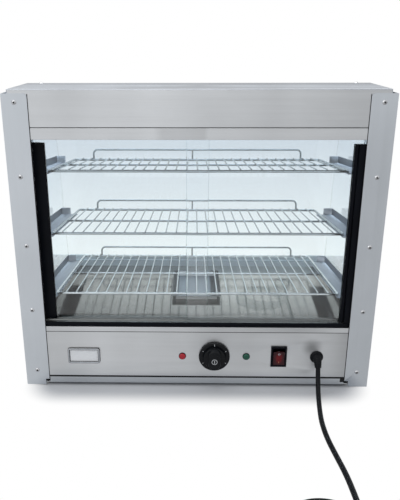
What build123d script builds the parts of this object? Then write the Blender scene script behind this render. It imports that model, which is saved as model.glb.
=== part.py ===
from build123d import *
import math
import os

# Heated display case: three sloping wire shelves under curved glass, two sliding glass doors on the
# server's side, and a heated base with its controls under the doors.
# Sizes are millimetres. X runs to the server's right, Y from the doors to the customer, Z up, and
# z = 0 is the surface that the feet stand on. A depth is measured back from the posts' front faces.

# Sheets and fits
panel_sheet = 1.2
post_sheet = 1.5
side_glass_thick = 5.0
curved_glass_thick = 5.0
door_glass_thick = 5.0
fit_gap = 0.3
seam_gap = 1.0
panel_seam = 2.2
running_gap = 0.05
hole_gap = 0.1

# Corner posts
case_width = 660.0
post_face_width = 44.0
post_side_depth = 36.0
post_height = 550.0
post_lift = 2.0
post_corner_radius = 6.0
post_notch_width = 7.0
post_notch_height = 12.0

# Base
base_depth = 409.7
foot_height = 6.0
foot_diameter = 28.0
foot_inset_x = 42.0
foot_inset_depth = 24.0
foot_stem_diameter = 8.0
tray_rim_height = 13.0
panel_height = 96.5
sill_height = 9.8
panel_return = 28.0

# Deck and its folded rims
deck_drop = 15.3
front_well_depth = 38.0
rim_inset = 6.0
rim_lip = 10.0
channel_height = 10.0
channel_sheet = 1.0

# Glass box
side_glass_inset = 17.0
glass_lean = 8.5
curved_glass_ledge = 15.7
curved_glass_foot_rise = 10.7

# Jambs behind the posts
jamb_depth = 34.0
jamb_setback = 3.0

# Hood and door rail
hood_inset = 10.0
hood_depth = 149.5
hood_stand = 5.6
rail_height = 19.6
fascia_height = 62.5
glass_tuck = 20.0
clamp_thick = 3.0
clamp_width = 15.0

# Sliding doors and their tracks
track_height = 8.5
track_floor = 2.0
track_depth = 28.0
track_setback = 5.0
groove_slack = 0.3
groove_pitch = 9.0
upper_track_height = 17.3
door_overlap = 40.0
door_side_gap = 2.0
door_lift_room = 6.3
pull_width = 20.5
pull_lip = 1.3
pull_reach = 8.0
pull_step = 3.0
pull_groove_width = 1.4
pull_groove_depth = 1.6
pull_foot_gap = 0.6
pull_head_gap = 8.6

# Shelves
shelf_side_gap = 16.0
shelf_front_depth = 51.0
shelf_slope = 6.1
frame_wire = 5.0
cross_wire = 2.6
middle_wire = 4.0
middle_share = 0.47
shelf_gaps = 28
weld_sink = 0.4
guard_wire = 4.0
guard_leg_wire = 3.5
guard_wires_in = 2
guard_rise = 22.0
guard_bend = 9.0
frame_corner = 7.0
top_shelf_drop = 63.1
middle_shelf_share = 0.506
bottom_shelf_rise = 49.5
top_shelf_glass_gap = 34.7
middle_shelf_glass_gap = 32.4
bottom_shelf_glass_gap = 16.8

# Shelf brackets
bracket_sheet = 1.5
bracket_glass_gap = 10.0
bracket_flange = 36.0
bracket_rise = 14.0
bracket_short = 43.0
bracket_tab = 20.0
bracket_foot_rise = 32.0
bracket_foot_width = 13.0
bracket_front_gap = 5.0

# Water tray on the deck
tray_width = 104.0
tray_length = 157.0
tray_height = 11.0
tray_wall = 0.8
tray_rim = 8.0
tray_depth = 171.0

# Controls
control_rise = 43.8
nameplate_inset = 114.0
nameplate_width = 61.0
nameplate_height = 31.0
nameplate_border = 4.0
nameplate_thick = 2.5
red_lamp_x = -27.0
green_lamp_x = 95.0
lamp_ring_diameter = 14.0
lamp_lens_diameter = 10.0
lamp_body_diameter = 11.6
lamp_body_length = 24.0
lamp_ring_thick = 2.0
lamp_dome = 2.6
knob_x = 34.0
knob_skirt_diameter = 59.0
knob_skirt_thick = 4.0
knob_hub_diameter = 42.0
knob_hub_reach = 10.5
knob_reach = 20.0
knob_grip_width = 24.0
knob_back_gap = 0.6
knob_recess_diameter = 16.0
knob_recess_depth = 3.0
shaft_diameter = 6.0
shaft_flat = 1.4
shaft_length = 36.0
bush_diameter = 10.0
bush_nut_diameter = 14.0
bush_nut_thick = 2.0
thermostat_width = 46.0
thermostat_height = 38.0
thermostat_length = 24.0
bulb_diameter = 6.0
bulb_length = 90.0
capillary_diameter = 2.0
switch_x = 157.0
switch_width = 30.0
switch_height = 42.0
switch_bezel = 2.5
switch_body_width = 26.0
switch_body_height = 38.0
switch_body_length = 26.0
switch_window_width = 22.0
switch_window_height = 34.0
rocker_height = 29.0
rocker_depth = 12.0
rocker_dish = 2.2
rocker_pivot_depth = 7.0
rocker_pin_diameter = 3.0
rocker_pin_length = 1.5
rocker_tilt = 7.0

# Heater under the deck
shield_drop = 36.8
shield_inset = 70.0
shield_front = 82.0
shield_rear_gap = 37.7
element_diameter = 8.0
element_inset = 45.0
element_rise = 12.0
element_bend = 24.0
element_front_inset = 48.0
element_rear_inset = 42.0
clip_width = 12.0
clip_wall = 2.0
block_width = 54.0
block_height = 22.0
block_length = 26.0
block_depth = 48.0

# Screws
screw_diameter = 4.0
screw_head_diameter = 8.4
screw_head_height = 2.4
screw_length = 9.0
post_screw_top = 14.5
post_screw_foot = 31.5
post_screw_count = 5
hood_screw_inset = 28.0
hood_screw_setback = 8.5

# Power cord, its strain relief, coil and plug
cord_diameter = 9.0
gland_inset = 101.0
gland_flange_diameter = 25.0
gland_flange_thick = 4.0
gland_neck_diameter = 16.0
gland_bend = 18.0
gland_turn = 70.0
gland_root_diameter = 17.0
gland_tip_diameter = 12.5
gland_nut_diameter = 24.0
gland_nut_thick = 6.0
coil_radius = 63.0
coil_pitch = 9.5
coil_layer_rise = 9.5
coil_halves_in = 4
coil_halves_out = 3
coil_tail = 38.0
plug_width = 38.0
plug_height = 28.0
plug_length = 34.0
plug_sleeve = 24.0
plug_pin_diameter = 4.8
plug_pin_length = 19.0
plug_pin_spacing = 19.0

# Heights and depths that the sizes above fix
half_width = case_width / 2
tray_floor = foot_height + panel_sheet
tray_rim_top = foot_height + tray_rim_height
tray_front_half = half_width - post_face_width - seam_gap
panel_bottom = tray_rim_top + panel_seam
panel_top = tray_rim_top + panel_height
base_top = panel_top + sill_height
deck_top = base_top - deck_drop
deck_under = deck_top - panel_sheet
control_height = panel_bottom + control_rise
nameplate_x = nameplate_inset - half_width
gland_x = half_width - gland_inset
side_plane = half_width - post_sheet - 0.2
rear_inside = base_depth - panel_sheet
side_glass_face = half_width - side_glass_inset
hood_half = half_width - hood_inset
hood_under = post_lift + post_height + hood_stand
rail_top = hood_under - fascia_height
rail_underside = rail_top - rail_height
jamb_inner = half_width - post_face_width + jamb_setback
door_edge = jamb_inner - door_side_gap
glass_top = hood_under - curved_glass_thick
side_glass_outer = side_glass_face + side_glass_thick
panel_front = post_sheet
panel_back = post_sheet + panel_sheet
front_y = -(base_depth + screw_head_height - knob_reach) / 2
track_half = jamb_inner - 0.2
curved_glass_foot_depth = base_depth - curved_glass_ledge
curved_glass_foot_height = base_top + curved_glass_foot_rise
bracket_half = side_glass_face - bracket_glass_gap
shield_height = deck_under - shield_drop
shield_half = half_width - shield_inset
shield_back = base_depth - shield_rear_gap
element_half = shield_half - element_inset
element_front = shield_front + element_front_inset
element_back = shield_back - element_rear_inset
wire_half = jamb_inner - shelf_side_gap - frame_wire / 2
wire_pitch = 2 * wire_half / shelf_gaps
lean_cos = math.cos(math.radians(glass_lean))
lean_sin = math.sin(math.radians(glass_lean))


def y_at(depth):
    """The Y of a depth behind the posts' front faces."""
    return front_y + depth


def block(x, depth, z):
    """A box between its low and high X, depth and height."""
    centre = Pos((x[0] + x[1]) / 2, y_at((depth[0] + depth[1]) / 2), (z[0] + z[1]) / 2)
    return centre * Box(x[1] - x[0], depth[1] - depth[0], z[1] - z[0])


def rod_x(diameter, x, depth, z):
    """A cylinder along X from its low to its high X."""
    return Pos((x[0] + x[1]) / 2, y_at(depth), z) * Rot(0, 90, 0) * Cylinder(diameter / 2, x[1] - x[0])


def rod_y(diameter, x, depth, z):
    """A cylinder along the depth from its near to its far end."""
    centre = Pos(x, y_at((depth[0] + depth[1]) / 2), z)
    return centre * Rot(90, 0, 0) * Cylinder(diameter / 2, depth[1] - depth[0])


def rod_z(diameter, x, depth, z):
    """A cylinder along Z from its foot to its top."""
    return Pos(x, y_at(depth), (z[0] + z[1]) / 2) * Cylinder(diameter / 2, z[1] - z[0])


def other_side(shape):
    """The same piece on the left side."""
    return mirror(shape, about=Plane.YZ)


def both_sides(shape):
    """A right-hand piece and its mirror image."""
    return Compound(children=[shape, other_side(shape)])


def profile_along_x(points, x):
    """A prism along X whose section is a polygon of depth and height."""
    corners = [(x[0], y_at(depth), z) for depth, z in points]
    return extrude(make_face(Polyline(corners, close=True)), x[1] - x[0], dir=(1, 0, 0))


def profile_along_y(points, depth):
    """A prism along the depth whose section is a polygon of X and height."""
    corners = [(px, y_at(depth[0]), z) for px, z in points]
    return extrude(make_face(Polyline(corners, close=True)), depth[1] - depth[0], dir=(0, 1, 0))


def dome_screw(x, depth, z, length):
    """A dome-headed screw driven back along the depth, its head standing on a front face."""
    head = Pos(x, y_at(depth), z) * Rot(90, 0, 0) * dome(screw_head_diameter, screw_head_height)
    return head + rod_y(screw_diameter, x, (depth, depth + length), z)


def dome(diameter, height):
    """A shallow dome standing up from z = 0."""
    radius = (diameter * diameter / 4 + height * height) / (2 * height)
    ball = Pos(0, 0, height - radius) * Sphere(radius)
    return ball & (Pos(0, 0, height / 2) * Box(diameter * 2, diameter * 2, height))


# Feet and base

foot_x = half_width - foot_inset_x
foot_depths = (foot_inset_depth, base_depth - foot_inset_depth)
foot_places = [(side * foot_x, depth) for side in (-1, 1) for depth in foot_depths]


def rubber_feet():
    """Four round feet, each held by a stem pushed through the tray."""
    feet = []
    for x, depth in foot_places:
        pad = rod_z(foot_diameter, x, depth, (0, foot_height))
        stem = rod_z(foot_stem_diameter, x, depth, (foot_height, tray_floor + 2.5))
        head = rod_z(foot_stem_diameter + 3, x, depth, (tray_floor, tray_floor + 2.5))
        feet.append(pad + stem + head)
    return Compound(children=feet)


def base_tray():
    """The bottom plate, with a low rim folded up on all four sides."""
    tray = block((-side_plane, side_plane), (panel_back, base_depth), (foot_height, tray_floor))
    rim = (tray_floor, tray_rim_top)
    tray += block((-tray_front_half, tray_front_half), (panel_front, panel_back), (foot_height, tray_rim_top))
    tray += block((-side_plane, side_plane), (rear_inside, base_depth), rim)
    for side in (-1, 1):
        wall = sorted((side * side_plane, side * (side_plane - panel_sheet)))
        tray += block(wall, (panel_back, rear_inside), rim)
    for x, depth in foot_places:
        tray -= rod_z(foot_stem_diameter + 2 * hole_gap, x, depth, (foot_height - 1, tray_floor + 1))
    return tray


def base_side():
    """The right-hand side of the base, folded in at both ends."""
    height = (tray_rim_top, base_top - panel_sheet)
    wall = block((side_plane - panel_sheet, side_plane), (panel_back, rear_inside), height)
    wall += block((side_plane - panel_return, side_plane), (panel_back, panel_back + panel_sheet), height)
    wall += block((side_plane - panel_return, side_plane), (rear_inside - panel_sheet, rear_inside), height)
    wall -= screw_holes(post_screw_places())
    wall -= screw_holes(rear_screw_places())
    return wall


def rear_screw_places():
    """Centres of the screws that hold the rear panel, as X and height."""
    x = side_plane - panel_return / 2
    span = base_top - tray_rim_top
    return [(x, tray_rim_top + span * share) for share in (0.2, 0.8)]


def screw_holes(places):
    """Clearance holes right through the case at the given X and height, on both sides."""
    holes = []
    for x, z in places:
        for side in (-1, 1):
            holes.append(rod_y(screw_diameter + 2 * hole_gap, side * x, (-5, jamb_depth - 5), z))
            holes.append(rod_y(screw_diameter + 2 * hole_gap, side * x, (rear_inside - 15, base_depth + 5), z))
    return holes


def base_rear_panel():
    """The back wall of the base, on the customer side."""
    height = (tray_rim_top, base_top - panel_sheet)
    return block((-side_plane, side_plane), (rear_inside, base_depth), height) - screw_holes(rear_screw_places())


def front_sill():
    """The strip over the controls: a front lip, the ledge under the doors and the well's front wall."""
    low = panel_top
    lip_back = deck_under - panel_sheet
    sill = block((-side_plane, side_plane), (panel_front, panel_back), (low, base_top))
    sill += block((-side_plane, side_plane), (panel_back, front_well_depth), (base_top - panel_sheet, base_top))
    wall_half = well_half
    wall = (front_well_depth - panel_sheet, front_well_depth)
    sill += block((-wall_half, wall_half), wall, (lip_back, base_top - panel_sheet))
    lip = (front_well_depth, front_well_depth + rim_lip)
    sill += block((-wall_half + rim_lip, wall_half - rim_lip), lip, (lip_back, deck_under))
    return sill


well_half = side_glass_face - rim_inset
well_back = curved_glass_foot_depth - rim_inset + (curved_glass_foot_height - base_top) * lean_sin


def deck_side_rims():
    """The folded rims that carry the side glass and the deck's long sides."""
    z_low = deck_under - panel_sheet
    outline = [
        (side_plane, base_top),
        (well_half, base_top),
        (well_half, deck_under),
        (well_half - rim_lip, deck_under),
        (well_half - rim_lip, z_low),
        (well_half + panel_sheet, z_low),
        (well_half + panel_sheet, base_top - panel_sheet),
        (side_plane, base_top - panel_sheet),
    ]
    return both_sides(profile_along_y(outline, (front_well_depth, well_back)))


def deck_rear_rim():
    """The folded rim that carries the curved glass and the deck's back edge."""
    z_low = deck_under - panel_sheet
    rim = block((-side_plane, side_plane), (well_back, base_depth), (base_top - panel_sheet, base_top))
    rim += block((-well_half, well_half), (well_back, well_back + panel_sheet), (z_low, base_top - panel_sheet))
    lip = (well_back - rim_lip, well_back)
    rim += block((-well_half + rim_lip, well_half - rim_lip), lip, (z_low, deck_under))
    return rim


def deck_plate():
    """The polished deck over the heater."""
    half = well_half - 0.2
    return block((-half, half), (front_well_depth + 0.2, well_back - 0.2), (deck_under, deck_top))


# Posts, jambs and the door rail


def post_screw_places():
    """Centres of the post screws, as X and height, for the right-hand post."""
    x = half_width - post_face_width / 2
    low = post_lift + post_screw_foot
    pitch = (post_height - post_screw_top - post_screw_foot) / (post_screw_count - 1)
    return [(x, low + row * pitch) for row in range(post_screw_count)]


def right_post():
    """The right-hand corner post: a face plate, a side wing and a short return to the glass."""
    top = post_lift + post_height
    inner = half_width - post_face_width
    face = block((inner, half_width), (0, post_sheet), (post_lift, top))
    corner = face.edges().filter_by(Axis.Y).sort_by(lambda e: e.center().X - e.center().Z)[0]
    face = fillet(corner, post_corner_radius)
    notch = (inner - 1, inner + post_notch_width)
    face -= block(notch, (-1, post_sheet + 1), (post_lift - 1, post_lift + post_notch_height))
    wing = block((half_width - post_sheet, half_width), (post_sheet, post_side_depth), (post_lift, top))
    back = (post_side_depth - post_sheet, post_side_depth)
    turn = block((hood_half + fit_gap, half_width - post_sheet), back, (base_top + fit_gap, top))
    return face + wing + turn - screw_holes(post_screw_places())


def right_jamb():
    """The folded channel behind the right-hand post, which guides the door and holds the side glass."""
    z = (base_top, hood_under)
    outer = side_glass_outer
    jamb = block((jamb_inner, outer), (panel_back, panel_back + panel_sheet), z)
    jamb += block((jamb_inner, jamb_inner + panel_sheet), (panel_back, jamb_depth), z)
    jamb += block((jamb_inner, outer), (jamb_depth - panel_sheet, jamb_depth), z)
    jamb -= screw_holes(post_screw_places())
    jamb -= bracket_screw_holes()
    return jamb


def door_rail():
    """The steel rail over the doors, with a flange that carries the upper track."""
    front = block((-side_glass_face, side_glass_face), (panel_front, panel_back), (rail_underside, rail_top))
    flange_back = track_setback + track_depth
    flange = (rail_top - panel_sheet, rail_top)
    rail = front + block((-track_half, track_half), (panel_back, flange_back), flange)
    return rail - screw_holes(post_screw_places())


def grooves(z):
    """The space that the two doors' edges run in, between two heights."""
    cuts = []
    for front in door_glass_fronts:
        near = front - groove_slack
        cuts.append(block((-half_width, half_width), (near, near + door_glass_thick + 2 * groove_slack), z))
    return cuts


first_door_depth = track_setback + track_depth / 2 - groove_pitch / 2 - door_glass_thick / 2
door_glass_fronts = (first_door_depth, first_door_depth + groove_pitch)
track_span = (track_setback, track_setback + track_depth)


def lower_door_track():
    """The black sill track with a groove for each door."""
    track = block((-track_half, track_half), track_span, (base_top, base_top + track_height))
    return track - grooves((base_top + track_floor, base_top + track_height + 1))


def upper_door_track():
    """The black head track, with deeper grooves so that a door can be lifted out."""
    top = rail_top - panel_sheet
    low = top - upper_track_height
    track = block((-track_half, track_half), track_span, (low, top))
    return track - grooves((low - 1, top - track_floor))


# Doors

door_bottom = base_top + track_floor + fit_gap
door_top = rail_top - panel_sheet - track_floor - door_lift_room


def door_glass(front):
    """A right-hand door pane whose front face lies at the given depth."""
    x = (-door_overlap / 2, door_edge)
    return block(x, (front, front + door_glass_thick), (door_bottom, door_top))


def door_pull(front, outward):
    """A right-hand edge pull: a channel over the pane's edge with a stepped grip on its outward face."""
    back = front + door_glass_thick
    inner = door_edge + pull_lip - pull_width
    z = (base_top + track_height + pull_foot_gap, rail_underside - pull_head_gap)
    near = front - (pull_reach if outward < 0 else pull_lip)
    far = back + (pull_reach if outward > 0 else pull_lip)
    body = block((inner, door_edge + pull_lip), (near, far), z)
    body -= block((inner - 1, door_edge), (front, back), (z[0] - 1, z[1] + 1))
    step_x = inner + pull_width / 3
    if outward < 0:
        body -= block((inner - 1, step_x), (near - 1, near + pull_step), (z[0] - 1, z[1] + 1))
        groove = (near, near + pull_step + pull_groove_depth)
    else:
        body -= block((inner - 1, step_x), (far - pull_step, far + 1), (z[0] - 1, z[1] + 1))
        groove = (far - pull_step - pull_groove_depth, far)
    body -= block((step_x - pull_groove_width / 2, step_x + pull_groove_width / 2), groove, (z[0] - 1, z[1] + 1))
    return body


# Glass box and its channels

centre_height_term = lean_cos * hood_depth + lean_sin * glass_top
foot_term = lean_cos * curved_glass_foot_depth + lean_sin * curved_glass_foot_height
curve_radius = (foot_term - centre_height_term) / (1 - lean_sin)
curve_centre = (hood_depth, glass_top - curve_radius)


def curve_points(offset, foot_z):
    """Where the glass's bend starts, its middle, its end and the foot, a distance outside the inner face."""
    radius = curve_radius + offset
    half_turn = math.radians(90 - glass_lean) / 2
    start = (curve_centre[0], curve_centre[1] + radius)
    middle = (curve_centre[0] + radius * math.sin(half_turn), curve_centre[1] + radius * math.cos(half_turn))
    end = (curve_centre[0] + radius * lean_cos, curve_centre[1] + radius * lean_sin)
    foot = (end[0] + (end[1] - foot_z) * lean_sin / lean_cos, foot_z)
    return start, middle, end, foot


def place(x, point):
    """A point in space from an X and a depth and height."""
    return (x, y_at(point[0]), point[1])


def curved_glass():
    """The bent pane over the customer side, from under the hood down to the rear rim."""
    foot_z = base_top + panel_sheet + fit_gap
    x = -side_glass_outer
    start, middle, end, foot = curve_points(0, foot_z)
    start_out, middle_out, end_out, foot_out = curve_points(curved_glass_thick, foot_z)
    edges = [
        Line(place(x, (start[0] - glass_tuck, start[1])), place(x, start)),
        ThreePointArc(place(x, start), place(x, middle), place(x, end)),
        Line(place(x, end), place(x, foot)),
        Line(place(x, foot), place(x, foot_out)),
        Line(place(x, foot_out), place(x, end_out)),
        ThreePointArc(place(x, end_out), place(x, middle_out), place(x, start_out)),
        Line(place(x, start_out), place(x, (start_out[0] - glass_tuck, start_out[1]))),
        Line(place(x, (start_out[0] - glass_tuck, start_out[1])), place(x, (start[0] - glass_tuck, start[1]))),
    ]
    pane = extrude(make_face(edges), 2 * side_glass_outer, dir=(1, 0, 0))
    return pane - hood_screw_holes()


def right_side_glass():
    """The flat side pane, cut to the curved pane's inner face."""
    foot_z = base_top + channel_sheet
    x = side_glass_face
    start, middle, end, foot = curve_points(-fit_gap, foot_z)
    edges = [
        Line(place(x, (jamb_depth, foot_z)), place(x, (jamb_depth, start[1]))),
        Line(place(x, (jamb_depth, start[1])), place(x, start)),
        ThreePointArc(place(x, start), place(x, middle), place(x, end)),
        Line(place(x, end), place(x, foot)),
        Line(place(x, foot), place(x, (jamb_depth, foot_z))),
    ]
    return extrude(make_face(edges), side_glass_thick, dir=(1, 0, 0))


channel_back_depth = curve_points(curved_glass_thick, base_top)[3][0] + fit_gap + channel_sheet
channel_front_depth = curve_points(0, base_top + channel_height)[3][0] - fit_gap - channel_sheet


def glass_channels():
    """The three steel channels that the side panes and the curved pane stand in."""
    inner = side_glass_face - fit_gap
    outer = side_glass_outer + fit_gap
    ends = (jamb_depth + fit_gap, channel_back_depth)
    floor = (base_top, base_top + channel_sheet)
    top = base_top + channel_height
    side = block((inner - channel_sheet, outer + channel_sheet), ends, floor)
    side += block((inner - channel_sheet, inner), (ends[0], channel_front_depth), (base_top, top))
    side += block((outer, outer + channel_sheet), ends, (base_top, top))
    half = inner - channel_sheet - fit_gap
    rear = block((-half, half), (channel_front_depth, channel_back_depth), floor)
    rear += block((-half, half), (channel_front_depth, channel_front_depth + channel_sheet), (base_top, top))
    rear += block((-half, half), (channel_back_depth - channel_sheet, channel_back_depth), (base_top, top))
    return Compound(children=[side, other_side(side), rear])


# Hood


def hood_screw_places():
    """Centres of the two screws through the hood, as X and depth."""
    x = hood_half - hood_screw_inset
    return [(side * x, hood_depth - hood_screw_setback) for side in (-1, 1)]


def hood_screw_holes():
    """Clearance holes down through the hood's top, the glass and the clamp."""
    low = glass_top - clamp_thick - 5
    return [rod_z(screw_diameter + 2 * hole_gap, x, d, (low, hood_under + 9)) for x, d in hood_screw_places()]


def hood_cover():
    """The hood's top sheet with its two folded cheeks."""
    top = hood_under + panel_sheet
    cover = block((-hood_half, hood_half), (panel_front, hood_depth), (hood_under, top))
    for side in (-1, 1):
        cheek = sorted((side * hood_half, side * (hood_half - panel_sheet)))
        cover += block(cheek, (panel_front, hood_depth), (rail_top, hood_under))
    return cover - hood_screw_holes()


def hood_fascia():
    """The tall front strip of the hood."""
    half = hood_half - panel_sheet
    strip = block((-half, half), (panel_front, panel_back), (rail_top + seam_gap, hood_under))
    return strip - screw_holes(post_screw_places())


def hood_ceiling():
    """The panel that closes the hood from below, turned up at its back edge."""
    half = side_glass_face - fit_gap
    jamb_clear = jamb_inner - fit_gap
    low = (rail_top, rail_top + panel_sheet)
    back = (hood_depth - panel_sheet, hood_depth)
    panel = block((-jamb_clear, jamb_clear), (panel_back, jamb_depth), low)
    panel += block((-half, half), (jamb_depth + fit_gap, hood_depth), low)
    panel += block((-jamb_clear, jamb_clear), (jamb_depth, jamb_depth + fit_gap), low)
    panel += block((-half, half), back, (low[1], glass_top - fit_gap))
    return panel


def glass_clamp():
    """The bar that the hood's screws pull up against the curved pane."""
    half = side_glass_face - fit_gap
    depth = hood_depth - hood_screw_setback
    bar = (depth - clamp_width / 2, depth + clamp_width / 2 - panel_sheet - fit_gap)
    return block((-half, half), bar, (glass_top - clamp_thick, glass_top)) - hood_screw_holes()


# Shelves and brackets

top_shelf_height = rail_underside - top_shelf_drop
bottom_shelf_height = base_top + bottom_shelf_rise
middle_shelf_height = bottom_shelf_height + (top_shelf_height - bottom_shelf_height) * middle_shelf_share
shelf_heights = {"top": top_shelf_height, "middle": middle_shelf_height, "bottom": bottom_shelf_height}
shelf_glass_gaps = {
    "top": top_shelf_glass_gap,
    "middle": middle_shelf_glass_gap,
    "bottom": bottom_shelf_glass_gap,
}


def glass_depth_at(height):
    """The depth of the curved pane's inner face at a height."""
    _, _, end, _ = curve_points(0, base_top)
    if height >= end[1]:
        return curve_centre[0] + math.sqrt(curve_radius ** 2 - (height - curve_centre[1]) ** 2)
    return end[0] + (end[1] - height) * lean_sin / lean_cos


def shelf_depth(height, glass_gap):
    """How far a shelf reaches along its slope to stay a gap away from the curved pane."""
    slope = math.radians(shelf_slope)
    depth = glass_depth_at(height) - shelf_front_depth
    for _ in range(12):
        back_height = height - depth * math.sin(slope)
        depth = (glass_depth_at(back_height) - glass_gap - shelf_front_depth) / math.cos(slope)
    return depth


def on_slope(shape, height):
    """Lays a piece that was drawn flat, with its front edge at y = 0, on a shelf's slope."""
    return Pos(0, y_at(shelf_front_depth), height) * Rot(-shelf_slope, 0, 0) * shape


def wire_between(diameter, start, end):
    """A straight round wire between two points."""
    path = Line(start, end)
    section = Plane(origin=path @ 0, z_dir=path % 0) * Circle(diameter / 2)
    return sweep(section, path=path)


def wire_shelf(depth, height):
    """A welded shelf: a round-cornered frame, a middle rail and the cross wires."""
    half = wire_half
    corner = frame_corner
    corners = [(-half, 0, 0), (half, 0, 0), (half, depth, 0), (-half, depth, 0)]
    frame = None
    runs = list(zip(corners, corners[1:] + corners[:1]))
    for start, end in runs:
        along = (Vector(*end) - Vector(*start)).normalized()
        piece = wire_between(frame_wire, Vector(*start) + along * corner, Vector(*end) - along * corner)
        frame = piece if frame is None else frame + piece
    for x, y in ((-half, 0), (half, 0), (half, depth), (-half, depth)):
        frame += frame_elbow(x, y, -math.copysign(1, x), 1 if y == 0 else -1, corner)
    wires = []
    rail_z = (frame_wire - middle_wire) / 2
    rail_y = depth * middle_share
    wires.append(wire_between(middle_wire, (-half, rail_y, rail_z), (half, rail_y, rail_z)))
    top = frame_wire / 2 + cross_wire / 2 - weld_sink
    for index in range(1, shelf_gaps):
        x = -half + index * wire_pitch
        wires.append(wire_between(cross_wire, (x, -cross_wire / 2, top), (x, depth + cross_wire / 2, top)))
    return on_slope(frame.fuse(*wires), height)


def frame_elbow(x, y, inward_x, inward_y, radius):
    """A quarter bend of the frame wire at one corner."""
    start = (x + inward_x * radius, y, 0)
    end = (x, y + inward_y * radius, 0)
    centre = (x + inward_x * radius, y + inward_y * radius)
    away = radius / math.sqrt(2)
    middle = (centre[0] - inward_x * away, centre[1] - inward_y * away, 0)
    path = ThreePointArc(start, middle, end)
    section = Plane(origin=path @ 0, z_dir=path % 0) * Circle(frame_wire / 2)
    return sweep(section, path=path)


def shelf_guard(depth, height):
    """The raised wire that keeps food off the glass, its feet shaped to the shelf's back wire."""
    beside = (cross_wire + guard_wire) / 2 + fit_gap
    guard_half = wire_half - guard_wires_in * wire_pitch - beside
    foot = frame_wire / 4
    points = [
        (-guard_half, depth, foot),
        (-guard_half, depth, guard_rise),
        (guard_half, depth, guard_rise),
        (guard_half, depth, foot),
    ]
    path = FilletPolyline(*points, radius=guard_bend)
    section = Plane(origin=path @ 0, z_dir=path % 0) * Circle(guard_wire / 2)
    bar = sweep(section, path=path)
    leg_x = -wire_pitch / 2
    bar += wire_between(guard_leg_wire, (leg_x, depth, foot), (leg_x, depth, guard_rise))
    rail = wire_between(frame_wire, (-wire_half, depth, 0), (wire_half, depth, 0))
    return on_slope(bar - rail, height)


def bracket(depth, height):
    """A right-hand shelf bracket: flange, upright, end tab, and a foot that is screwed to the jamb."""
    top = -frame_wire / 2 - fit_gap
    low = top - bracket_sheet
    start = jamb_depth - shelf_front_depth + bracket_front_gap
    end = depth - bracket_short
    outer = bracket_half
    flange = solid_between((outer - bracket_flange, start, low), (outer, end, top))
    upright = solid_between((outer - bracket_sheet, start, top), (outer, end, top + bracket_rise))
    tab = solid_between((outer - bracket_tab, end - bracket_sheet, top), (outer, end, top + bracket_rise))
    return on_slope(flange + upright + tab, height)


def solid_between(low, high):
    """A box between two opposite corners, in its own flat frame."""
    size = [b - a for a, b in zip(low, high)]
    centre = [(a + b) / 2 for a, b in zip(low, high)]
    return Pos(*centre) * Box(*size)


def bracket_foot(height):
    """The upright plate at a bracket's front end, flat on the jamb's back face."""
    centre = bracket_foot_centre(height)
    x = (bracket_half - bracket_foot_width, bracket_half)
    depth = (jamb_depth, jamb_depth + bracket_sheet)
    return block(x, depth, (centre - bracket_foot_rise / 2, centre + bracket_foot_rise / 2))


def bracket_foot_centre(height):
    """The height of the middle of a bracket's foot."""
    return height + (shelf_front_depth - jamb_depth) * math.tan(math.radians(shelf_slope)) + bracket_rise / 4


def bracket_arm(height):
    """The short arm that joins a bracket's foot to its upright."""
    centre = bracket_foot_centre(height)
    x = (bracket_half - bracket_sheet, bracket_half)
    depth = (jamb_depth, jamb_depth + bracket_sheet + 12)
    return block(x, depth, (centre - bracket_rise / 2 - 2, centre + bracket_rise / 2 + 1))


def bracket_pair(depth, height):
    """The two brackets of one shelf."""
    whole = bracket(depth, height) + bracket_arm(height) + bracket_foot(height)
    return both_sides(whole - bracket_screw_holes())


def bracket_screw_places():
    """Centres of the screws that hold the brackets' feet, as X and height."""
    x = bracket_half - bracket_foot_width / 2
    places = []
    for height in shelf_heights.values():
        centre = bracket_foot_centre(height)
        places += [(x, centre + share * bracket_foot_rise) for share in (-0.3, 0.3)]
    return places


def bracket_screw_holes():
    """Clearance holes through the brackets' feet and the jamb's back wall."""
    bore = screw_diameter + 2 * hole_gap
    span = (jamb_depth - 6, jamb_depth + 6)
    return [rod_y(bore, side * x, span, z) for x, z in bracket_screw_places() for side in (-1, 1)]


# Water tray


def water_tray():
    """The loose pan for water, with a flat rim turned out at its top."""
    half = tray_width / 2 - tray_rim
    near = tray_depth + tray_rim
    far = tray_depth + tray_length - tray_rim
    top = deck_top + tray_height
    pan = block((-half, half), (near, far), (deck_top, top))
    pan += block((-half - tray_rim, half + tray_rim), (tray_depth, far + tray_rim), (top - tray_wall, top))
    inside = (half - tray_wall, near + tray_wall, far - tray_wall)
    return pan - block((-inside[0], inside[0]), inside[1:], (deck_top + tray_wall, top + 1))


# Controls


def control_panel():
    """The front panel of the base, with its cut-outs."""
    panel = block((-side_plane, side_plane), (panel_front, panel_back), (panel_bottom, panel_top))
    through = (panel_front - 1, panel_back + 1)
    holes = [
        rod_y(bush_diameter + 2 * hole_gap, knob_x, through, control_height),
        rod_y(lamp_body_diameter + 2 * hole_gap, red_lamp_x, through, control_height),
        rod_y(lamp_body_diameter + 2 * hole_gap, green_lamp_x, through, control_height),
        rod_y(gland_neck_diameter + 2 * hole_gap, gland_x, through, control_height),
        block(
            (switch_x - switch_body_width / 2 - hole_gap, switch_x + switch_body_width / 2 + hole_gap),
            through,
            (control_height - switch_body_height / 2 - hole_gap, control_height + switch_body_height / 2 + hole_gap),
        ),
    ]
    return panel - holes - screw_holes(post_screw_places())


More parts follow.
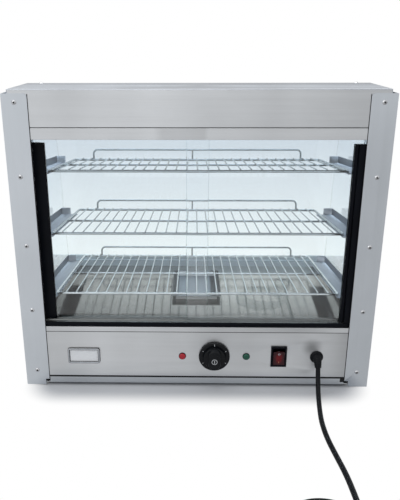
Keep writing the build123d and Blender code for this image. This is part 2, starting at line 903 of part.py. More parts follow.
def nameplate_frame():
    """The bright frame of the nameplate, with a stud at each corner."""
    half_w = nameplate_width / 2
    half_h = nameplate_height / 2
    depth = (panel_front - nameplate_thick, panel_front)
    outer = block((nameplate_x - half_w, nameplate_x + half_w), depth, (control_height - half_h, control_height + half_h))
    window_w = half_w - nameplate_border
    window_h = half_h - nameplate_border
    window = block(
        (nameplate_x - window_w, nameplate_x + window_w),
        (depth[0] - 1, depth[1] + 1),
        (control_height - window_h, control_height + window_h),
    )
    frame = outer - window
    for side in (-1, 1):
        for up in (-1, 1):
            x = nameplate_x + side * (half_w - nameplate_border / 2)
            z = control_height + up * (half_h - nameplate_border / 2)
            stud = Pos(x, y_at(depth[0]), z) * Rot(90, 0, 0) * dome(nameplate_border + 1.0, 1.2)
            frame += stud
    return frame


def nameplate_blank():
    """The blank plate held in the frame."""
    half_w = nameplate_width / 2 - nameplate_border - 0.05
    half_h = nameplate_height / 2 - nameplate_border - 0.05
    depth = (panel_front - nameplate_thick / 2, panel_front)
    return block((nameplate_x - half_w, nameplate_x + half_w), depth, (control_height - half_h, control_height + half_h))


def lamp_housing(x):
    """A pilot lamp's black ring and the body behind the panel."""
    ring = rod_y(lamp_ring_diameter, x, (panel_front - lamp_ring_thick, panel_front), control_height)
    body = rod_y(lamp_body_diameter, x, (panel_front, panel_front + lamp_body_length), control_height)
    bore = rod_y(lamp_lens_diameter, x, (panel_front - lamp_ring_thick - 1, panel_front + 5), control_height)
    return ring + body - bore


def lamp_lens(x):
    """A pilot lamp's domed lens, seated in its ring."""
    front = panel_front - lamp_ring_thick
    plug = rod_y(lamp_lens_diameter, x, (front, panel_front + 5), control_height)
    cap = Pos(x, y_at(front), control_height) * Rot(90, 0, 0) * dome(lamp_lens_diameter, lamp_dome)
    return plug + cap


def thermostat_knob():
    """The knob: a flat skirt, a round hub and a broad grip bar, bored for the shaft."""
    back = panel_front - knob_back_gap
    front = -knob_reach
    skirt = rod_y(knob_skirt_diameter, knob_x, (back - knob_skirt_thick, back), control_height)
    hub = rod_y(knob_hub_diameter, knob_x, (-knob_hub_reach, back - knob_skirt_thick), control_height)
    long = knob_hub_diameter - knob_grip_width
    z = (control_height - long / 2, control_height + long / 2)
    grip_depth = (front, -knob_hub_reach)
    half = knob_grip_width / 2
    grip = block((knob_x - half, knob_x + half), grip_depth, z)
    grip += rod_y(knob_grip_width, knob_x, grip_depth, z[0])
    grip += rod_y(knob_grip_width, knob_x, grip_depth, z[1])
    recess = rod_y(knob_recess_diameter, knob_x, (back - knob_recess_depth, back + 1), control_height)
    return skirt + hub + grip - recess - shaft_solid(running_gap)


def shaft_solid(grow):
    """The thermostat's shaft, with a flat along its front end."""
    front = -knob_hub_reach - 4
    radius = shaft_diameter / 2 + grow
    shaft = rod_y(2 * radius, knob_x, (front, front + shaft_length), control_height)
    flat_z = control_height + shaft_diameter / 2 - shaft_flat + grow
    flat_end = panel_front - knob_back_gap - knob_recess_depth
    return shaft - block((knob_x - 9, knob_x + 9), (front - 1, flat_end), (flat_z, flat_z + 9))


def thermostat_body():
    """The thermostat behind the panel, with its bush, nut and a blind bore for the shaft."""
    half_w = thermostat_width / 2
    half_h = thermostat_height / 2
    x = (knob_x - half_w, knob_x + half_w)
    z = (control_height - half_h, control_height + half_h)
    body = block(x, (panel_back, panel_back + thermostat_length), z)
    body += rod_y(bush_diameter, knob_x, (panel_front - bush_nut_thick, panel_back), control_height)
    shaft_end = -knob_hub_reach - 4 + shaft_length
    bore = rod_y(shaft_diameter + 2 * running_gap, knob_x, (-10, shaft_end + fit_gap), control_height)
    body = body - bore
    nut = rod_y(bush_nut_diameter, knob_x, (panel_front - bush_nut_thick, panel_front), control_height)
    nut -= rod_y(bush_diameter, knob_x, (-10, panel_back), control_height)
    return Compound(children=[body, nut])


def thermostat_bulb():
    """The sensing bulb under the deck and its capillary down to the thermostat."""
    bulb_z = deck_under - bulb_diameter / 2
    bulb_depth = shield_front + 30
    bulb = rod_x(bulb_diameter, (knob_x, knob_x + bulb_length), bulb_depth, bulb_z)
    exit_depth = panel_back + thermostat_length
    points = [
        (knob_x - 12, y_at(exit_depth), control_height + 8),
        (knob_x - 12, y_at(exit_depth + 22), control_height + 8),
        (knob_x - 12, y_at(exit_depth + 34), bulb_z),
        (knob_x - 12, y_at(bulb_depth - 12), bulb_z),
        (knob_x, y_at(bulb_depth), bulb_z),
    ]
    path = FilletPolyline(*points[:4], radius=8)
    section = Plane(origin=path @ 0, z_dir=path % 0) * Circle(capillary_diameter / 2)
    tube = sweep(section, path=path)
    turn = FilletPolyline(points[3], (knob_x - 12, y_at(bulb_depth), bulb_z), (knob_x + 1, y_at(bulb_depth), bulb_z), radius=8)
    last = Plane(origin=turn @ 0, z_dir=turn % 0) * Circle(capillary_diameter / 2)
    return bulb + (tube + sweep(last, path=turn))


def switch_housing():
    """The switch's bezel and body, hollow at the front for the rocker."""
    half_w = switch_body_width / 2
    half_h = switch_body_height / 2
    bezel = block(
        (switch_x - switch_width / 2, switch_x + switch_width / 2),
        (panel_front - switch_bezel, panel_front),
        (control_height - switch_height / 2, control_height + switch_height / 2),
    )
    body = block(
        (switch_x - half_w, switch_x + half_w),
        (panel_front, panel_front + switch_body_length),
        (control_height - half_h, control_height + half_h),
    )
    well = block(
        (switch_x - switch_window_width / 2, switch_x + switch_window_width / 2),
        (panel_front - switch_bezel - 1, panel_front + rocker_depth + 4),
        (control_height - switch_window_height / 2, control_height + switch_window_height / 2),
    )
    pin = switch_window_width / 2 + rocker_pin_length
    pins = rod_x(
        rocker_pin_diameter + 2 * running_gap,
        (switch_x - pin - fit_gap, switch_x + pin + fit_gap),
        rocker_pivot_depth,
        control_height,
    )
    return bezel + body - well - pins


def switch_rocker():
    """The red rocker, dished across its face, resting with its lower end pressed."""
    half_w = switch_window_width / 2 - fit_gap
    half_h = rocker_height / 2
    front = rocker_pivot_depth - rocker_depth
    outline = [
        (front, control_height - half_h),
        (front + rocker_dish, control_height),
        (front, control_height + half_h),
        (rocker_pivot_depth + 3, control_height + half_h * 0.55),
        (rocker_pivot_depth + 3, control_height - half_h * 0.55),
    ]
    cap = profile_along_x(outline, (switch_x - half_w, switch_x + half_w))
    pin = switch_window_width / 2 + rocker_pin_length
    cap += rod_x(rocker_pin_diameter, (switch_x - pin, switch_x + pin), rocker_pivot_depth, control_height)
    axis = Axis((switch_x, y_at(rocker_pivot_depth), control_height), (1, 0, 0))
    return cap.rotate(axis, rocker_tilt)


# Heater


def heat_shield():
    """The bridge plate under the element, standing on two folded legs, with the element's clips on it."""
    top = shield_height
    low = top - panel_sheet
    shield = block((-shield_half, shield_half), (shield_front, shield_back), (low, top))
    for side in (-1, 1):
        leg = sorted((side * shield_half, side * (shield_half - panel_sheet)))
        shield += block(leg, (shield_front, shield_back), (tray_floor, low))
        foot = sorted((side * shield_half, side * (shield_half + 14)))
        shield += block(foot, (shield_front, shield_back), (tray_floor, tray_floor + panel_sheet))
    for x in (-element_half * 0.6, element_half * 0.6):
        for depth in (element_front, element_back):
            shield += element_clip(x, depth)
    return shield


def element_clip(x, depth):
    """A saddle that holds the element above the shield."""
    z = shield_height + element_rise
    outer = element_diameter + 2 * fit_gap + 2 * clip_wall
    half = clip_width / 2
    saddle = block((x - half, x + half), (depth - outer / 2, depth + outer / 2), (shield_height, z))
    saddle += rod_x(outer, (x - half, x + half), depth, z)
    return saddle - rod_x(element_diameter + 2 * fit_gap, (x - half - 1, x + half + 1), depth, z)


def heating_element():
    """A tubular element bent into a hairpin, its cold ends brought out towards the front."""
    z = shield_height + element_rise
    near = y_at(element_front)
    far = y_at(element_back)
    end = y_at(shield_front - 14)
    lead = element_bend * 0.8
    points = [
        (-lead, end, z),
        (-lead, near, z),
        (-element_half, near, z),
        (-element_half, far, z),
        (element_half, far, z),
        (element_half, near, z),
        (lead, near, z),
        (lead, end, z),
    ]
    radii = [element_bend * 0.7] + [element_bend] * 4 + [element_bend * 0.7]
    path = FilletPolyline(*points, radius=radii)
    section = Plane(origin=path @ 0, z_dir=path % 0) * Circle(element_diameter / 2)
    tube = sweep(section, path=path)
    for x in (-lead, lead):
        pin = Pos(x, end, z) * Rot(90, 0, 0) * Cylinder(element_diameter / 4, 16)
        tube += pin
    return tube


def terminal_block():
    """The block that joins the cord to the switch, the thermostat and the element."""
    x = (gland_x - block_width, gland_x)
    depth = (block_depth, block_depth + block_length)
    body = block(x, depth, (tray_floor, tray_floor + block_height))
    ways = 3
    pitch = block_width / ways
    for index in range(ways):
        centre = x[0] + pitch * (index + 0.5)
        for place_depth in (block_depth + 7, block_depth + block_length - 7):
            body -= rod_z(7, centre, place_depth, (tray_floor + block_height - 8, tray_floor + block_height + 1))
    return body


# Screws


def screw_facing_back(x, depth, z, length):
    """A dome-headed screw driven towards the front, its head standing on a back face."""
    head = Pos(x, y_at(depth), z) * Rot(-90, 0, 0) * dome(screw_head_diameter, screw_head_height)
    return head + rod_y(screw_diameter, x, (depth - length, depth), z)


def case_screws():
    """The screws of the posts, of the base's rear panel and of the hood's top."""
    screws = []
    for side in (-1, 1):
        for x, z in post_screw_places():
            screws.append(dome_screw(side * x, 0, z, screw_length))
        for x, z in rear_screw_places():
            screws.append(screw_facing_back(side * x, base_depth, z, screw_length))
    top = hood_under + panel_sheet
    for x, depth in hood_screw_places():
        head = Pos(x, y_at(depth), top) * dome(screw_head_diameter, screw_head_height)
        screws.append(head + rod_z(screw_diameter, x, depth, (glass_top - clamp_thick - 2, top)))
    return Compound(children=screws)


def bracket_screws():
    """The screws that hold the brackets' feet to the jambs."""
    back = jamb_depth + bracket_sheet
    return Compound(children=[
        screw_facing_back(side * x, back, z, screw_length - 3) for x, z in bracket_screw_places() for side in (-1, 1)
    ])


# Cord


def tube_along(path, diameter):
    """A round tube swept along a path."""
    section = Plane(origin=path @ 0, z_dir=path % 0) * Circle(diameter / 2)
    return sweep(section, path=path)


gland_front = panel_front - gland_flange_thick
gland_end_turn = math.radians(gland_turn)
gland_tip = (
    gland_front - gland_bend * math.sin(gland_end_turn),
    control_height - gland_bend * (1 - math.cos(gland_end_turn)),
)


def cable_gland():
    """The strain relief: a flange, a nut behind the panel and a tapered boot that bends down."""
    flange = rod_y(gland_flange_diameter, gland_x, (gland_front, panel_front), control_height)
    neck = rod_y(gland_neck_diameter, gland_x, (panel_front, panel_back + gland_nut_thick), control_height)
    nut = rod_y(gland_nut_diameter, gland_x, (panel_back, panel_back + gland_nut_thick), control_height)
    steps = 5
    rings = []
    for index in range(steps + 1):
        share = index / steps
        turn = gland_end_turn * share
        depth = gland_front - gland_bend * math.sin(turn)
        z = control_height - gland_bend * (1 - math.cos(turn))
        size = gland_root_diameter + (gland_tip_diameter - gland_root_diameter) * share
        plane = Plane(
            origin=(gland_x, y_at(depth), z),
            x_dir=(1, 0, 0),
            z_dir=(0, -math.cos(turn), -math.sin(turn)),
        )
        rings.append(plane * Circle(size / 2))
    boot = loft(rings, ruled=True)
    return flange + neck + nut + boot


# The cord's route on the table, from the boot's tip to the coil: X, depth and height of each point.
cord_floor = cord_diameter / 2 + 0.1
cord_first_run = 21.5
cord_route = [
    (gland_x, gland_tip[0], gland_tip[1]),
    (
        gland_x,
        gland_tip[0] - cord_first_run * math.cos(gland_end_turn),
        gland_tip[1] - cord_first_run * math.sin(gland_end_turn),
    ),
    (gland_x - 1.2, -41.6, cord_floor + 0.26 * (gland_tip[1] - cord_floor)),
    (gland_x - 3.2, -62.5, cord_floor + 0.07 * (gland_tip[1] - cord_floor)),
    (gland_x - 6.4, -92.0, cord_floor),
    (gland_x - 10.0, -130.0, cord_floor),
    (gland_x - 9.4, -176.0, cord_floor),
    (gland_x - 4.0, -224.0, cord_floor),
    (gland_x + 1.6, -270.0, cord_floor),
    (gland_x + 3.6, -318.0, cord_floor),
    (gland_x + 4.0, -366.0, cord_floor),
    (gland_x + 4.0, -392.0, cord_floor),
]


def route_radii(points):
    """As large a radius at each corner as its two runs allow."""
    radii = []
    for before, here, after in zip(points, points[1:], points[2:]):
        one = Vector(*here) - Vector(*before)
        two = Vector(*after) - Vector(*here)
        turn = math.radians(one.get_angle(two))
        radii.append(0.45 * min(one.length, two.length) / math.tan(turn / 2))
    return radii


def route_path():
    """The cord's free stretch as straight runs joined by tangent arcs."""
    points = [(x, y_at(depth), z) for x, depth, z in cord_route]
    radii = route_radii(points)
    print("cord radii", [round(r, 1) for r in radii])
    return FilletPolyline(*points, radius=radii)


def power_cord():
    """The cord from the boot to the coil."""
    path = route_path()
    tube = tube_along(path, cord_diameter)
    print("cord run", round(path.length, 1), "volume ratio", tube.volume / (path.length * math.pi * cord_diameter ** 2 / 4))
    return tube


def biarc(start, start_dir, end, end_dir):
    """Two arcs that join tangentially between two points with given directions."""
    v = end - start
    t = start_dir + end_dir
    denominator = 2 * (1 - start_dir.dot(end_dir))
    reach = -v.dot(t) + math.sqrt(v.dot(t) ** 2 + denominator * v.dot(v))
    d = reach / denominator
    joint = (start + start_dir * d + end - end_dir * d) / 2
    return [tangent_arc(start, start_dir, joint), reversed_arc(end, end_dir, joint)]


def arc_middle(start, direction, end):
    """The middle point of the arc that leaves start along direction and reaches end."""
    chord = end - start
    half_turn = math.acos(max(-1.0, min(1.0, direction.dot(chord.normalized()))))
    side = direction - chord.normalized() * direction.dot(chord.normalized())
    rise = chord.length / 2 * math.tan(half_turn / 2)
    return start + chord / 2 + side.normalized() * rise


def tangent_arc(start, direction, end):
    """The arc that leaves start along direction and reaches end."""
    return ThreePointArc(start, arc_middle(start, direction, end), end)


def reversed_arc(end, end_dir, joint):
    """The arc from joint that reaches end along its direction."""
    return ThreePointArc(joint, arc_middle(end, end_dir * -1, joint), end)


def coil_edges():
    """The coil's centre line: half turns that spiral in, a climbing half turn, and half turns out again."""
    start_x, start_depth, start_z = cord_route[-1]
    here = Vector(start_x, y_at(start_depth), start_z)
    lead = here + Vector(0, -cord_diameter, 0)
    edges = [Line(here, lead)]
    here = lead
    heading = Vector(0, -1, 0)
    shrink = coil_pitch / 2
    radii = [coil_radius - shrink * index for index in range(coil_halves_in + 1)]
    radii += [radii[-1] + shrink * (index + 1) for index in range(coil_halves_out)]
    for index, radius in enumerate(radii):
        side = Vector(-1, 0, 0) if heading.Y < 0 else Vector(1, 0, 0)
        if index == coil_halves_in:
            top = here + side * radius + heading * radius + Vector(0, 0, coil_layer_rise / 2)
            after = here + side * (2 * radius) + Vector(0, 0, coil_layer_rise)
            slope = coil_layer_rise / (math.pi * radius)
            middle_dir = (side + Vector(0, 0, slope)).normalized()
            edges += biarc(here, heading, top, middle_dir)
            edges += biarc(top, middle_dir, after, heading * -1)
        else:
            after = here + side * (2 * radius)
            edges.append(ThreePointArc(here, here + side * radius + heading * radius, after))
        here = after
        heading = heading * -1
    edges.append(Line(here, here + heading * coil_tail))
    return edges, here + heading * coil_tail, heading


def coil_gap(edges):
    """The least distance between stretches of the coil that aren't neighbours, less the cord itself."""
    step = cord_diameter / 3
    points = []
    travelled = 0.0
    for edge in edges:
        count = max(2, int(edge.length / step))
        for index in range(count):
            points.append((travelled + edge.length * index / count, edge @ (index / count)))
        travelled += edge.length
    least = None
    for number, (place_a, a) in enumerate(points):
        for place_b, b in points[number + 1:]:
            if place_b - place_a > 3 * cord_diameter:
                distance = (a - b).length
                least = distance if least is None else min(least, distance)
    return least - cord_diameter


def cord_coil():
    """The spare cord, wound into a neat two-layer coil as one unbroken tube."""
    edges, _, _ = coil_edges()
    print("coil length", round(sum(edge.length for edge in edges), 1), "least gap", round(coil_gap(edges), 2))
    return tube_along(Wire(edges), cord_diameter)


def plug_start():
    """The plane where the cord enters the plug, facing along the cord."""
    _, end, heading = coil_edges()
    return Plane(origin=end, x_dir=(1, 0, 0), z_dir=heading)


def mains_plug():
    """The plug at the cord's end: a tapered sleeve and a rounded body."""
    start = plug_start()
    sleeve = loft([start * Circle(cord_diameter / 2 + 1.2), start.offset(plug_sleeve) * Circle(cord_diameter / 2 + 3.5)])
    outline = RectangleRounded(plug_width, plug_height, plug_height * 0.4)
    return sleeve + extrude(start.offset(plug_sleeve) * outline, plug_length)


def plug_pins():
    """The plug's two round pins."""
    face = plug_start().offset(plug_sleeve + plug_length)
    pins = []
    for side in (-1, 1):
        spot = face * Pos(side * plug_pin_spacing / 2, 0, 0)
        pin = extrude(spot * Circle(plug_pin_diameter / 2), plug_pin_length)
        tip = pin.faces().sort_by(Axis.Y)[0]
        pins.append(fillet(tip.edges(), plug_pin_diameter * 0.3))
    return Compound(children=pins)


first_door, second_door = door_glass_fronts

pieces = {
    "rubber_feet": rubber_feet(),
    "base_tray": base_tray(),
    "base_right_side": base_side(),
    "base_left_side": other_side(base_side()),
    "base_rear_panel": base_rear_panel(),
    "control_panel": control_panel(),
    "front_sill": front_sill(),
    "deck_side_rims": deck_side_rims(),
    "deck_rear_rim": deck_rear_rim(),
    "deck_plate": deck_plate(),
    "right_post": right_post(),
    "left_post": other_side(right_post()),
    "right_jamb": right_jamb(),
    "left_jamb": other_side(right_jamb()),
    "door_rail": door_rail(),
    "lower_door_track": lower_door_track(),
    "upper_door_track": upper_door_track(),
    "right_door_glass": door_glass(first_door),
    "right_door_pull": door_pull(first_door, -1),
    "left_door_glass": other_side(door_glass(second_door)),
    "left_door_pull": other_side(door_pull(second_door, 1)),
    "right_side_glass": right_side_glass(),
    "left_side_glass": other_side(right_side_glass()),
    "curved_glass": curved_glass(),
    "glass_channels": glass_channels(),
    "hood_cover": hood_cover(),
    "hood_fascia": hood_fascia(),
    "hood_ceiling": hood_ceiling(),
    "glass_clamp": glass_clamp(),
    "water_tray": water_tray(),
    "nameplate_frame": nameplate_frame(),
    "nameplate_blank": nameplate_blank(),
    "lamp_housings": Compound(children=[lamp_housing(red_lamp_x), lamp_housing(green_lamp_x)]),
    "red_lamp_lens": lamp_lens(red_lamp_x),
    "green_lamp_lens": lamp_lens(green_lamp_x),
    "thermostat_knob": thermostat_knob(),
    "thermostat_shaft": shaft_solid(0),
    "thermostat_body": thermostat_body(),
    "thermostat_bulb": thermostat_bulb(),
    "switch_housing": switch_housing(),
    "switch_rocker": switch_rocker(),
    "heat_shield": heat_shield(),
    "heating_element": heating_element(),
    "terminal_block": terminal_block(),
    "case_screws": case_screws(),
    "bracket_screws": bracket_screws(),
    "cable_gland": cable_gland(),
    "power_cord": power_cord(),
    "cord_coil": cord_coil(),
    "mains_plug": mains_plug(),
    "plug_pins": plug_pins(),
}
for name, height in shelf_heights.items():
    depth = shelf_depth(height, shelf_glass_gaps[name])
    pieces[name + "_shelf"] = wire_shelf(depth, height)
    pieces[name + "_guard"] = shelf_guard(depth, height)
    pieces[name + "_brackets"] = bracket_pair(depth, height)

os.makedirs("parts", exist_ok=True)
for name, shape in pieces.items():
    export_step(shape, "parts/" + name + ".step")
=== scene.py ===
"""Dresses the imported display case: its sheet metal, glass, wire shelves, screws, controls and power lead."""
import logging
import math
from dataclasses import dataclass
from enum import Enum
from typing import Callable, Iterable, Mapping, Optional, Sequence

import bmesh
import bpy
from mathutils import Matrix, Vector


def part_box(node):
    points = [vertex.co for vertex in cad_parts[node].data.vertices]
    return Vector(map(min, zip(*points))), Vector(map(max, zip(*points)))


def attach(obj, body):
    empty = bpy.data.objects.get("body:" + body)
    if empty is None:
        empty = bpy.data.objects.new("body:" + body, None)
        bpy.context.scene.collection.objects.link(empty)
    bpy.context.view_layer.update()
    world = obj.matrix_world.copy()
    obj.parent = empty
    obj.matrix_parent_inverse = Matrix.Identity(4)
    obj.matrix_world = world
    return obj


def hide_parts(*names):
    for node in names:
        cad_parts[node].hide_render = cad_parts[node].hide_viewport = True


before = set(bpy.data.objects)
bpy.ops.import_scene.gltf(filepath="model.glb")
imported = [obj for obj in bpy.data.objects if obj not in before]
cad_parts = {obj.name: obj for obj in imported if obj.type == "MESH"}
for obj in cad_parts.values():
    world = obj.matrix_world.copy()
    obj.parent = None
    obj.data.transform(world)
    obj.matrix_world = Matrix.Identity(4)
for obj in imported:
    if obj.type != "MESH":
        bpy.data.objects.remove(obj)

LOG = logging.getLogger("display_case")
MM = 0.001
FRONT_Y = -0.19605
PANEL_MIDDLE = 65.0
SHELF_SLOPE = 6.1

Colour = tuple[float, float, float]
Point = tuple[float, float, float]
Rgba = tuple[float, float, float, float]
Profile = Sequence[tuple[float, float]]
Node = bpy.types.Node
Socket = bpy.types.NodeSocket
Material = bpy.types.Material
Object = bpy.types.Object
Mesh = bpy.types.Mesh
BMesh = bmesh.types.BMesh

ORIGIN = Vector((0, 0, 0))
X_AXIS = Vector((1, 0, 0))
Y_AXIS = Vector((0, 1, 0))
Z_AXIS = Vector((0, 0, 1))
FORWARD = -Y_AXIS


def at(x: float, depth: float, z: float) -> Vector:
    """A point of the frame, in metres.

    Args:
        x: Millimetres to the server's right of the middle.
        depth: Millimetres behind the posts' front faces.
        z: Millimetres above the counter.

    Returns:
        The point as a vector.
    """
    return Vector((x * MM, FRONT_Y + depth * MM, z * MM))


class Body(Enum):
    """The rigid bodies that pieces ride on."""

    CASE = "case"
    LEFT_DOOR = "left_door"
    RIGHT_DOOR = "right_door"
    KNOB = "knob"
    ROCKER = "rocker"
    TOP_SHELF = "top_shelf"
    MIDDLE_SHELF = "middle_shelf"
    BOTTOM_SHELF = "bottom_shelf"
    WATER_TRAY = "water_tray"


SHELF_HEIGHTS: Mapping[Body, float] = {Body.TOP_SHELF: 412.4, Body.MIDDLE_SHELF: 295.03, Body.BOTTOM_SHELF: 174.8}


class Grain(Enum):
    """The direction that a sheet is brushed in, as the stretch of its grain along X, Y and Z."""

    ALONG_X = (0.012, 1.0, 1.0)
    ALONG_Y = (1.0, 0.012, 1.0)
    ALONG_Z = (1.0, 1.0, 0.012)


class Sheet:
    """Writes nodes and links into one node tree."""

    def __init__(self, tree: bpy.types.NodeTree) -> None:
        """Keeps the tree.

        Args:
            tree: The node tree to write into.
        """
        self.tree = tree

    def add(self, kind: str, values: Optional[Mapping] = None, **settings: object) -> Node:
        """Adds a node.

        Args:
            kind: The node's type name.
            values: Socket values or source sockets, by input name or number.
            settings: Properties of the node itself.

        Returns:
            The new node.
        """
        node = self.tree.nodes.new(kind)
        for key, value in settings.items():
            setattr(node, key, value)
        self.fill(node, values or {})
        return node

    def fill(self, node: Node, values: Mapping) -> None:
        """Feeds several inputs of a node, by their names or numbers."""
        for key, value in values.items():
            self.feed(node.inputs[key], value)

    def feed(self, socket: Socket, value: object) -> None:
        """Links a source socket to an input, or writes a plain value on it."""
        if isinstance(value, Socket):
            self.tree.links.new(value, socket)
        else:
            socket.default_value = value

    def mix(self, factor: object, low: object, high: object, blend: str = "MIX") -> Socket:
        """Mixes two colours.

        Args:
            factor: A value or socket from 0 to 1.
            low: The colour at 0.
            high: The colour at 1.
            blend: How the second colour meets the first.

        Returns:
            The mixed colour's socket.
        """
        return self.add("ShaderNodeMix", {0: factor, 6: low, 7: high}, data_type="RGBA", blend_type=blend).outputs[2]

    def remap(self, value: object, start: float, end: float, low: float = 0.0, high: float = 1.0,
              kind: str = "LINEAR") -> Socket:
        """Maps one range onto another and holds the result inside it.

        Args:
            value: The value's socket.
            start: The value that gives low.
            end: The value that gives high.
            low: The result at the start.
            high: The result at the end.
            kind: LINEAR, or SMOOTHSTEP for soft ends.

        Returns:
            The mapped value's socket.
        """
        return self.add("ShaderNodeMapRange", {"Value": value, "From Min": start, "From Max": end, "To Min": low,
                                               "To Max": high}, interpolation_type=kind).outputs[0]

    def spread(self, value: object, low: float, high: float) -> Socket:
        """Maps a value from 0 to 1 onto the range from low to high."""
        return self.remap(value, 0.0, 1.0, low, high)

    def maths(self, operation: str, first: object, second: object = 0.5, **settings: object) -> Socket:
        """The socket of a sum, product, comparison or another step with plain values."""
        return self.add("ShaderNodeMath", {0: first, 1: second}, operation=operation, **settings).outputs[0]

    def vectors(self, operation: str, first: object, second: object) -> Socket:
        """The socket of one step with two vectors, part by part."""
        return self.add("ShaderNodeVectorMath", {0: first, 1: second}, operation=operation).outputs[0]

    def vector(self, x: object = 0.0, y: object = 0.0, z: object = 0.0) -> Socket:
        """A vector's socket from its three parts."""
        return self.add("ShaderNodeCombineXYZ", {"X": x, "Y": y, "Z": z}).outputs[0]

    def parts(self, vector: Socket) -> bpy.types.bpy_prop_collection:
        """The sockets X, Y and Z of a vector."""
        return self.add("ShaderNodeSeparateXYZ", {0: vector}).outputs

    def noise(self, where: object, scale: object, detail: float, roughness: float,
              distortion: float = 0.0) -> Socket:
        """The value of a noise texture."""
        return self.add("ShaderNodeTexNoise", {"Vector": where, "Scale": scale, "Detail": detail,
                                               "Roughness": roughness, "Distortion": distortion}).outputs["Fac"]

    def group(self, tree: bpy.types.NodeTree, **values: object) -> bpy.types.bpy_prop_collection:
        """The outputs of a shared shader group with its inputs fed."""
        return self.add("ShaderNodeGroup", values, node_tree=tree).outputs


BLACK: Rgba = (0.0, 0.0, 0.0, 1.0)
WHITE: Rgba = (1.0, 1.0, 1.0, 1.0)
PALE_DUST: Rgba = (0.62, 0.61, 0.59, 1.0)
GREY_DUST: Rgba = (0.30, 0.30, 0.30, 1.0)


def opaque(colour: Colour, gain: float = 1.0) -> Rgba:
    """A colour scaled by a gain, with full alpha."""
    return (*(min(1.0, part * gain) for part in colour), 1.0)


FLOAT = "NodeSocketFloat"
VECTOR = "NodeSocketVector"


def new_group(name: str, inputs: Mapping[str, str], *outputs: str) -> tuple[Sheet, object, Node]:
    """Starts a shader node group.

    Args:
        name: The group's name.
        inputs: Socket kinds by input name.
        outputs: The names of the values that it gives.

    Returns:
        The sheet to write on, the given sockets by name and the group's output node.
    """
    tree = bpy.data.node_groups.new(name, "ShaderNodeTree")
    for label, kind in inputs.items():
        tree.interface.new_socket(name=label, in_out="INPUT", socket_type=kind)
    for label in outputs:
        tree.interface.new_socket(name=label, in_out="OUTPUT", socket_type=FLOAT)
    sheet = Sheet(tree)
    return sheet, sheet.add("NodeGroupInput").outputs, sheet.add("NodeGroupOutput")


def brushed_group() -> bpy.types.NodeTree:
    """The grain of brushed sheet: fine streaks over broader, softer ones.

    Returns:
        The shader node group, with the outputs Streak and Height.
    """
    sheet, given, result = new_group("Brushed grain", {"Vector": VECTOR, "Stretch": VECTOR, "Fineness": FLOAT},
                                     "Streak", "Height")
    along = sheet.vectors("MULTIPLY", given["Vector"], given["Stretch"])
    fine = sheet.noise(along, given["Fineness"], 5.0, 0.7)
    broad = sheet.noise(along, sheet.maths("MULTIPLY", given["Fineness"], 0.13), 3.0, 0.5)
    streak = sheet.remap(sheet.maths("ADD", fine, broad), 0.75, 1.25)
    sheet.fill(result, {"Streak": streak, "Height": fine})
    return sheet.tree


def cloud_group() -> bpy.types.NodeTree:
    """Soft uneven patches, for handling marks, haze and tone.

    Returns:
        The shader node group, with the output Cloud from 0 to 1.
    """
    sheet, given, result = new_group("Soft patches", {"Vector": VECTOR, "Scale": FLOAT, "Sharpness": FLOAT}, "Cloud")
    centred = sheet.maths("SUBTRACT", sheet.noise(given["Vector"], given["Scale"], 4.0, 0.55, 0.6), 0.5)
    steep = sheet.maths("MULTIPLY", centred, given["Sharpness"])
    sheet.fill(result, {"Cloud": sheet.maths("ADD", steep, 0.5, use_clamp=True)})
    return sheet.tree


def settled_group() -> bpy.types.NodeTree:
    """Fine dust that settles on faces that look up.

    Returns:
        The shader node group, with the output Dust from 0 to 1.
    """
    sheet, given, result = new_group("Settled dust", {"Vector": VECTOR, "Normal": VECTOR, "Amount": FLOAT}, "Dust")
    facing = sheet.remap(sheet.parts(given["Normal"])["Z"], 0.6, 1.0)
    grains = sheet.remap(sheet.noise(given["Vector"], 90.0, 6.0, 0.8), 0.45, 0.8)
    lying = sheet.maths("MULTIPLY", facing, grains)
    sheet.fill(result, {"Dust": sheet.maths("MULTIPLY", lying, given["Amount"])})
    return sheet.tree


def reflection_band_group() -> bpy.types.NodeTree:
    """Broad soft light and dark bands across a sheet: painted reflection, as a slightly uneven surface would reflect
    them.

    Returns:
        The shader node group, with the output Reflection band from 0 to 1.
    """
    sheet, given, result = new_group("Broad bands", {"Vector": VECTOR, "Stretch": VECTOR}, "Reflection band")
    across = sheet.vectors("MULTIPLY", given["Vector"], given["Stretch"])
    sheet.fill(result, {"Reflection band": sheet.remap(sheet.noise(across, 1.0, 1.5, 0.45), 0.3, 0.7)})
    return sheet.tree


class Effects:
    """The shader groups that several finishes share, built once."""

    def __init__(self) -> None:
        """Builds the groups."""
        self.brushed = brushed_group()
        self.cloud = cloud_group()
        self.settled = settled_group()
        self.reflection_bands = reflection_band_group()


def blank_material(name: str) -> tuple[Material, Sheet]:
    """A new material without nodes, and the sheet to write them on."""
    material = bpy.data.materials.new(name)
    material.use_nodes = True
    material.node_tree.nodes.clear()
    return material, Sheet(material.node_tree)


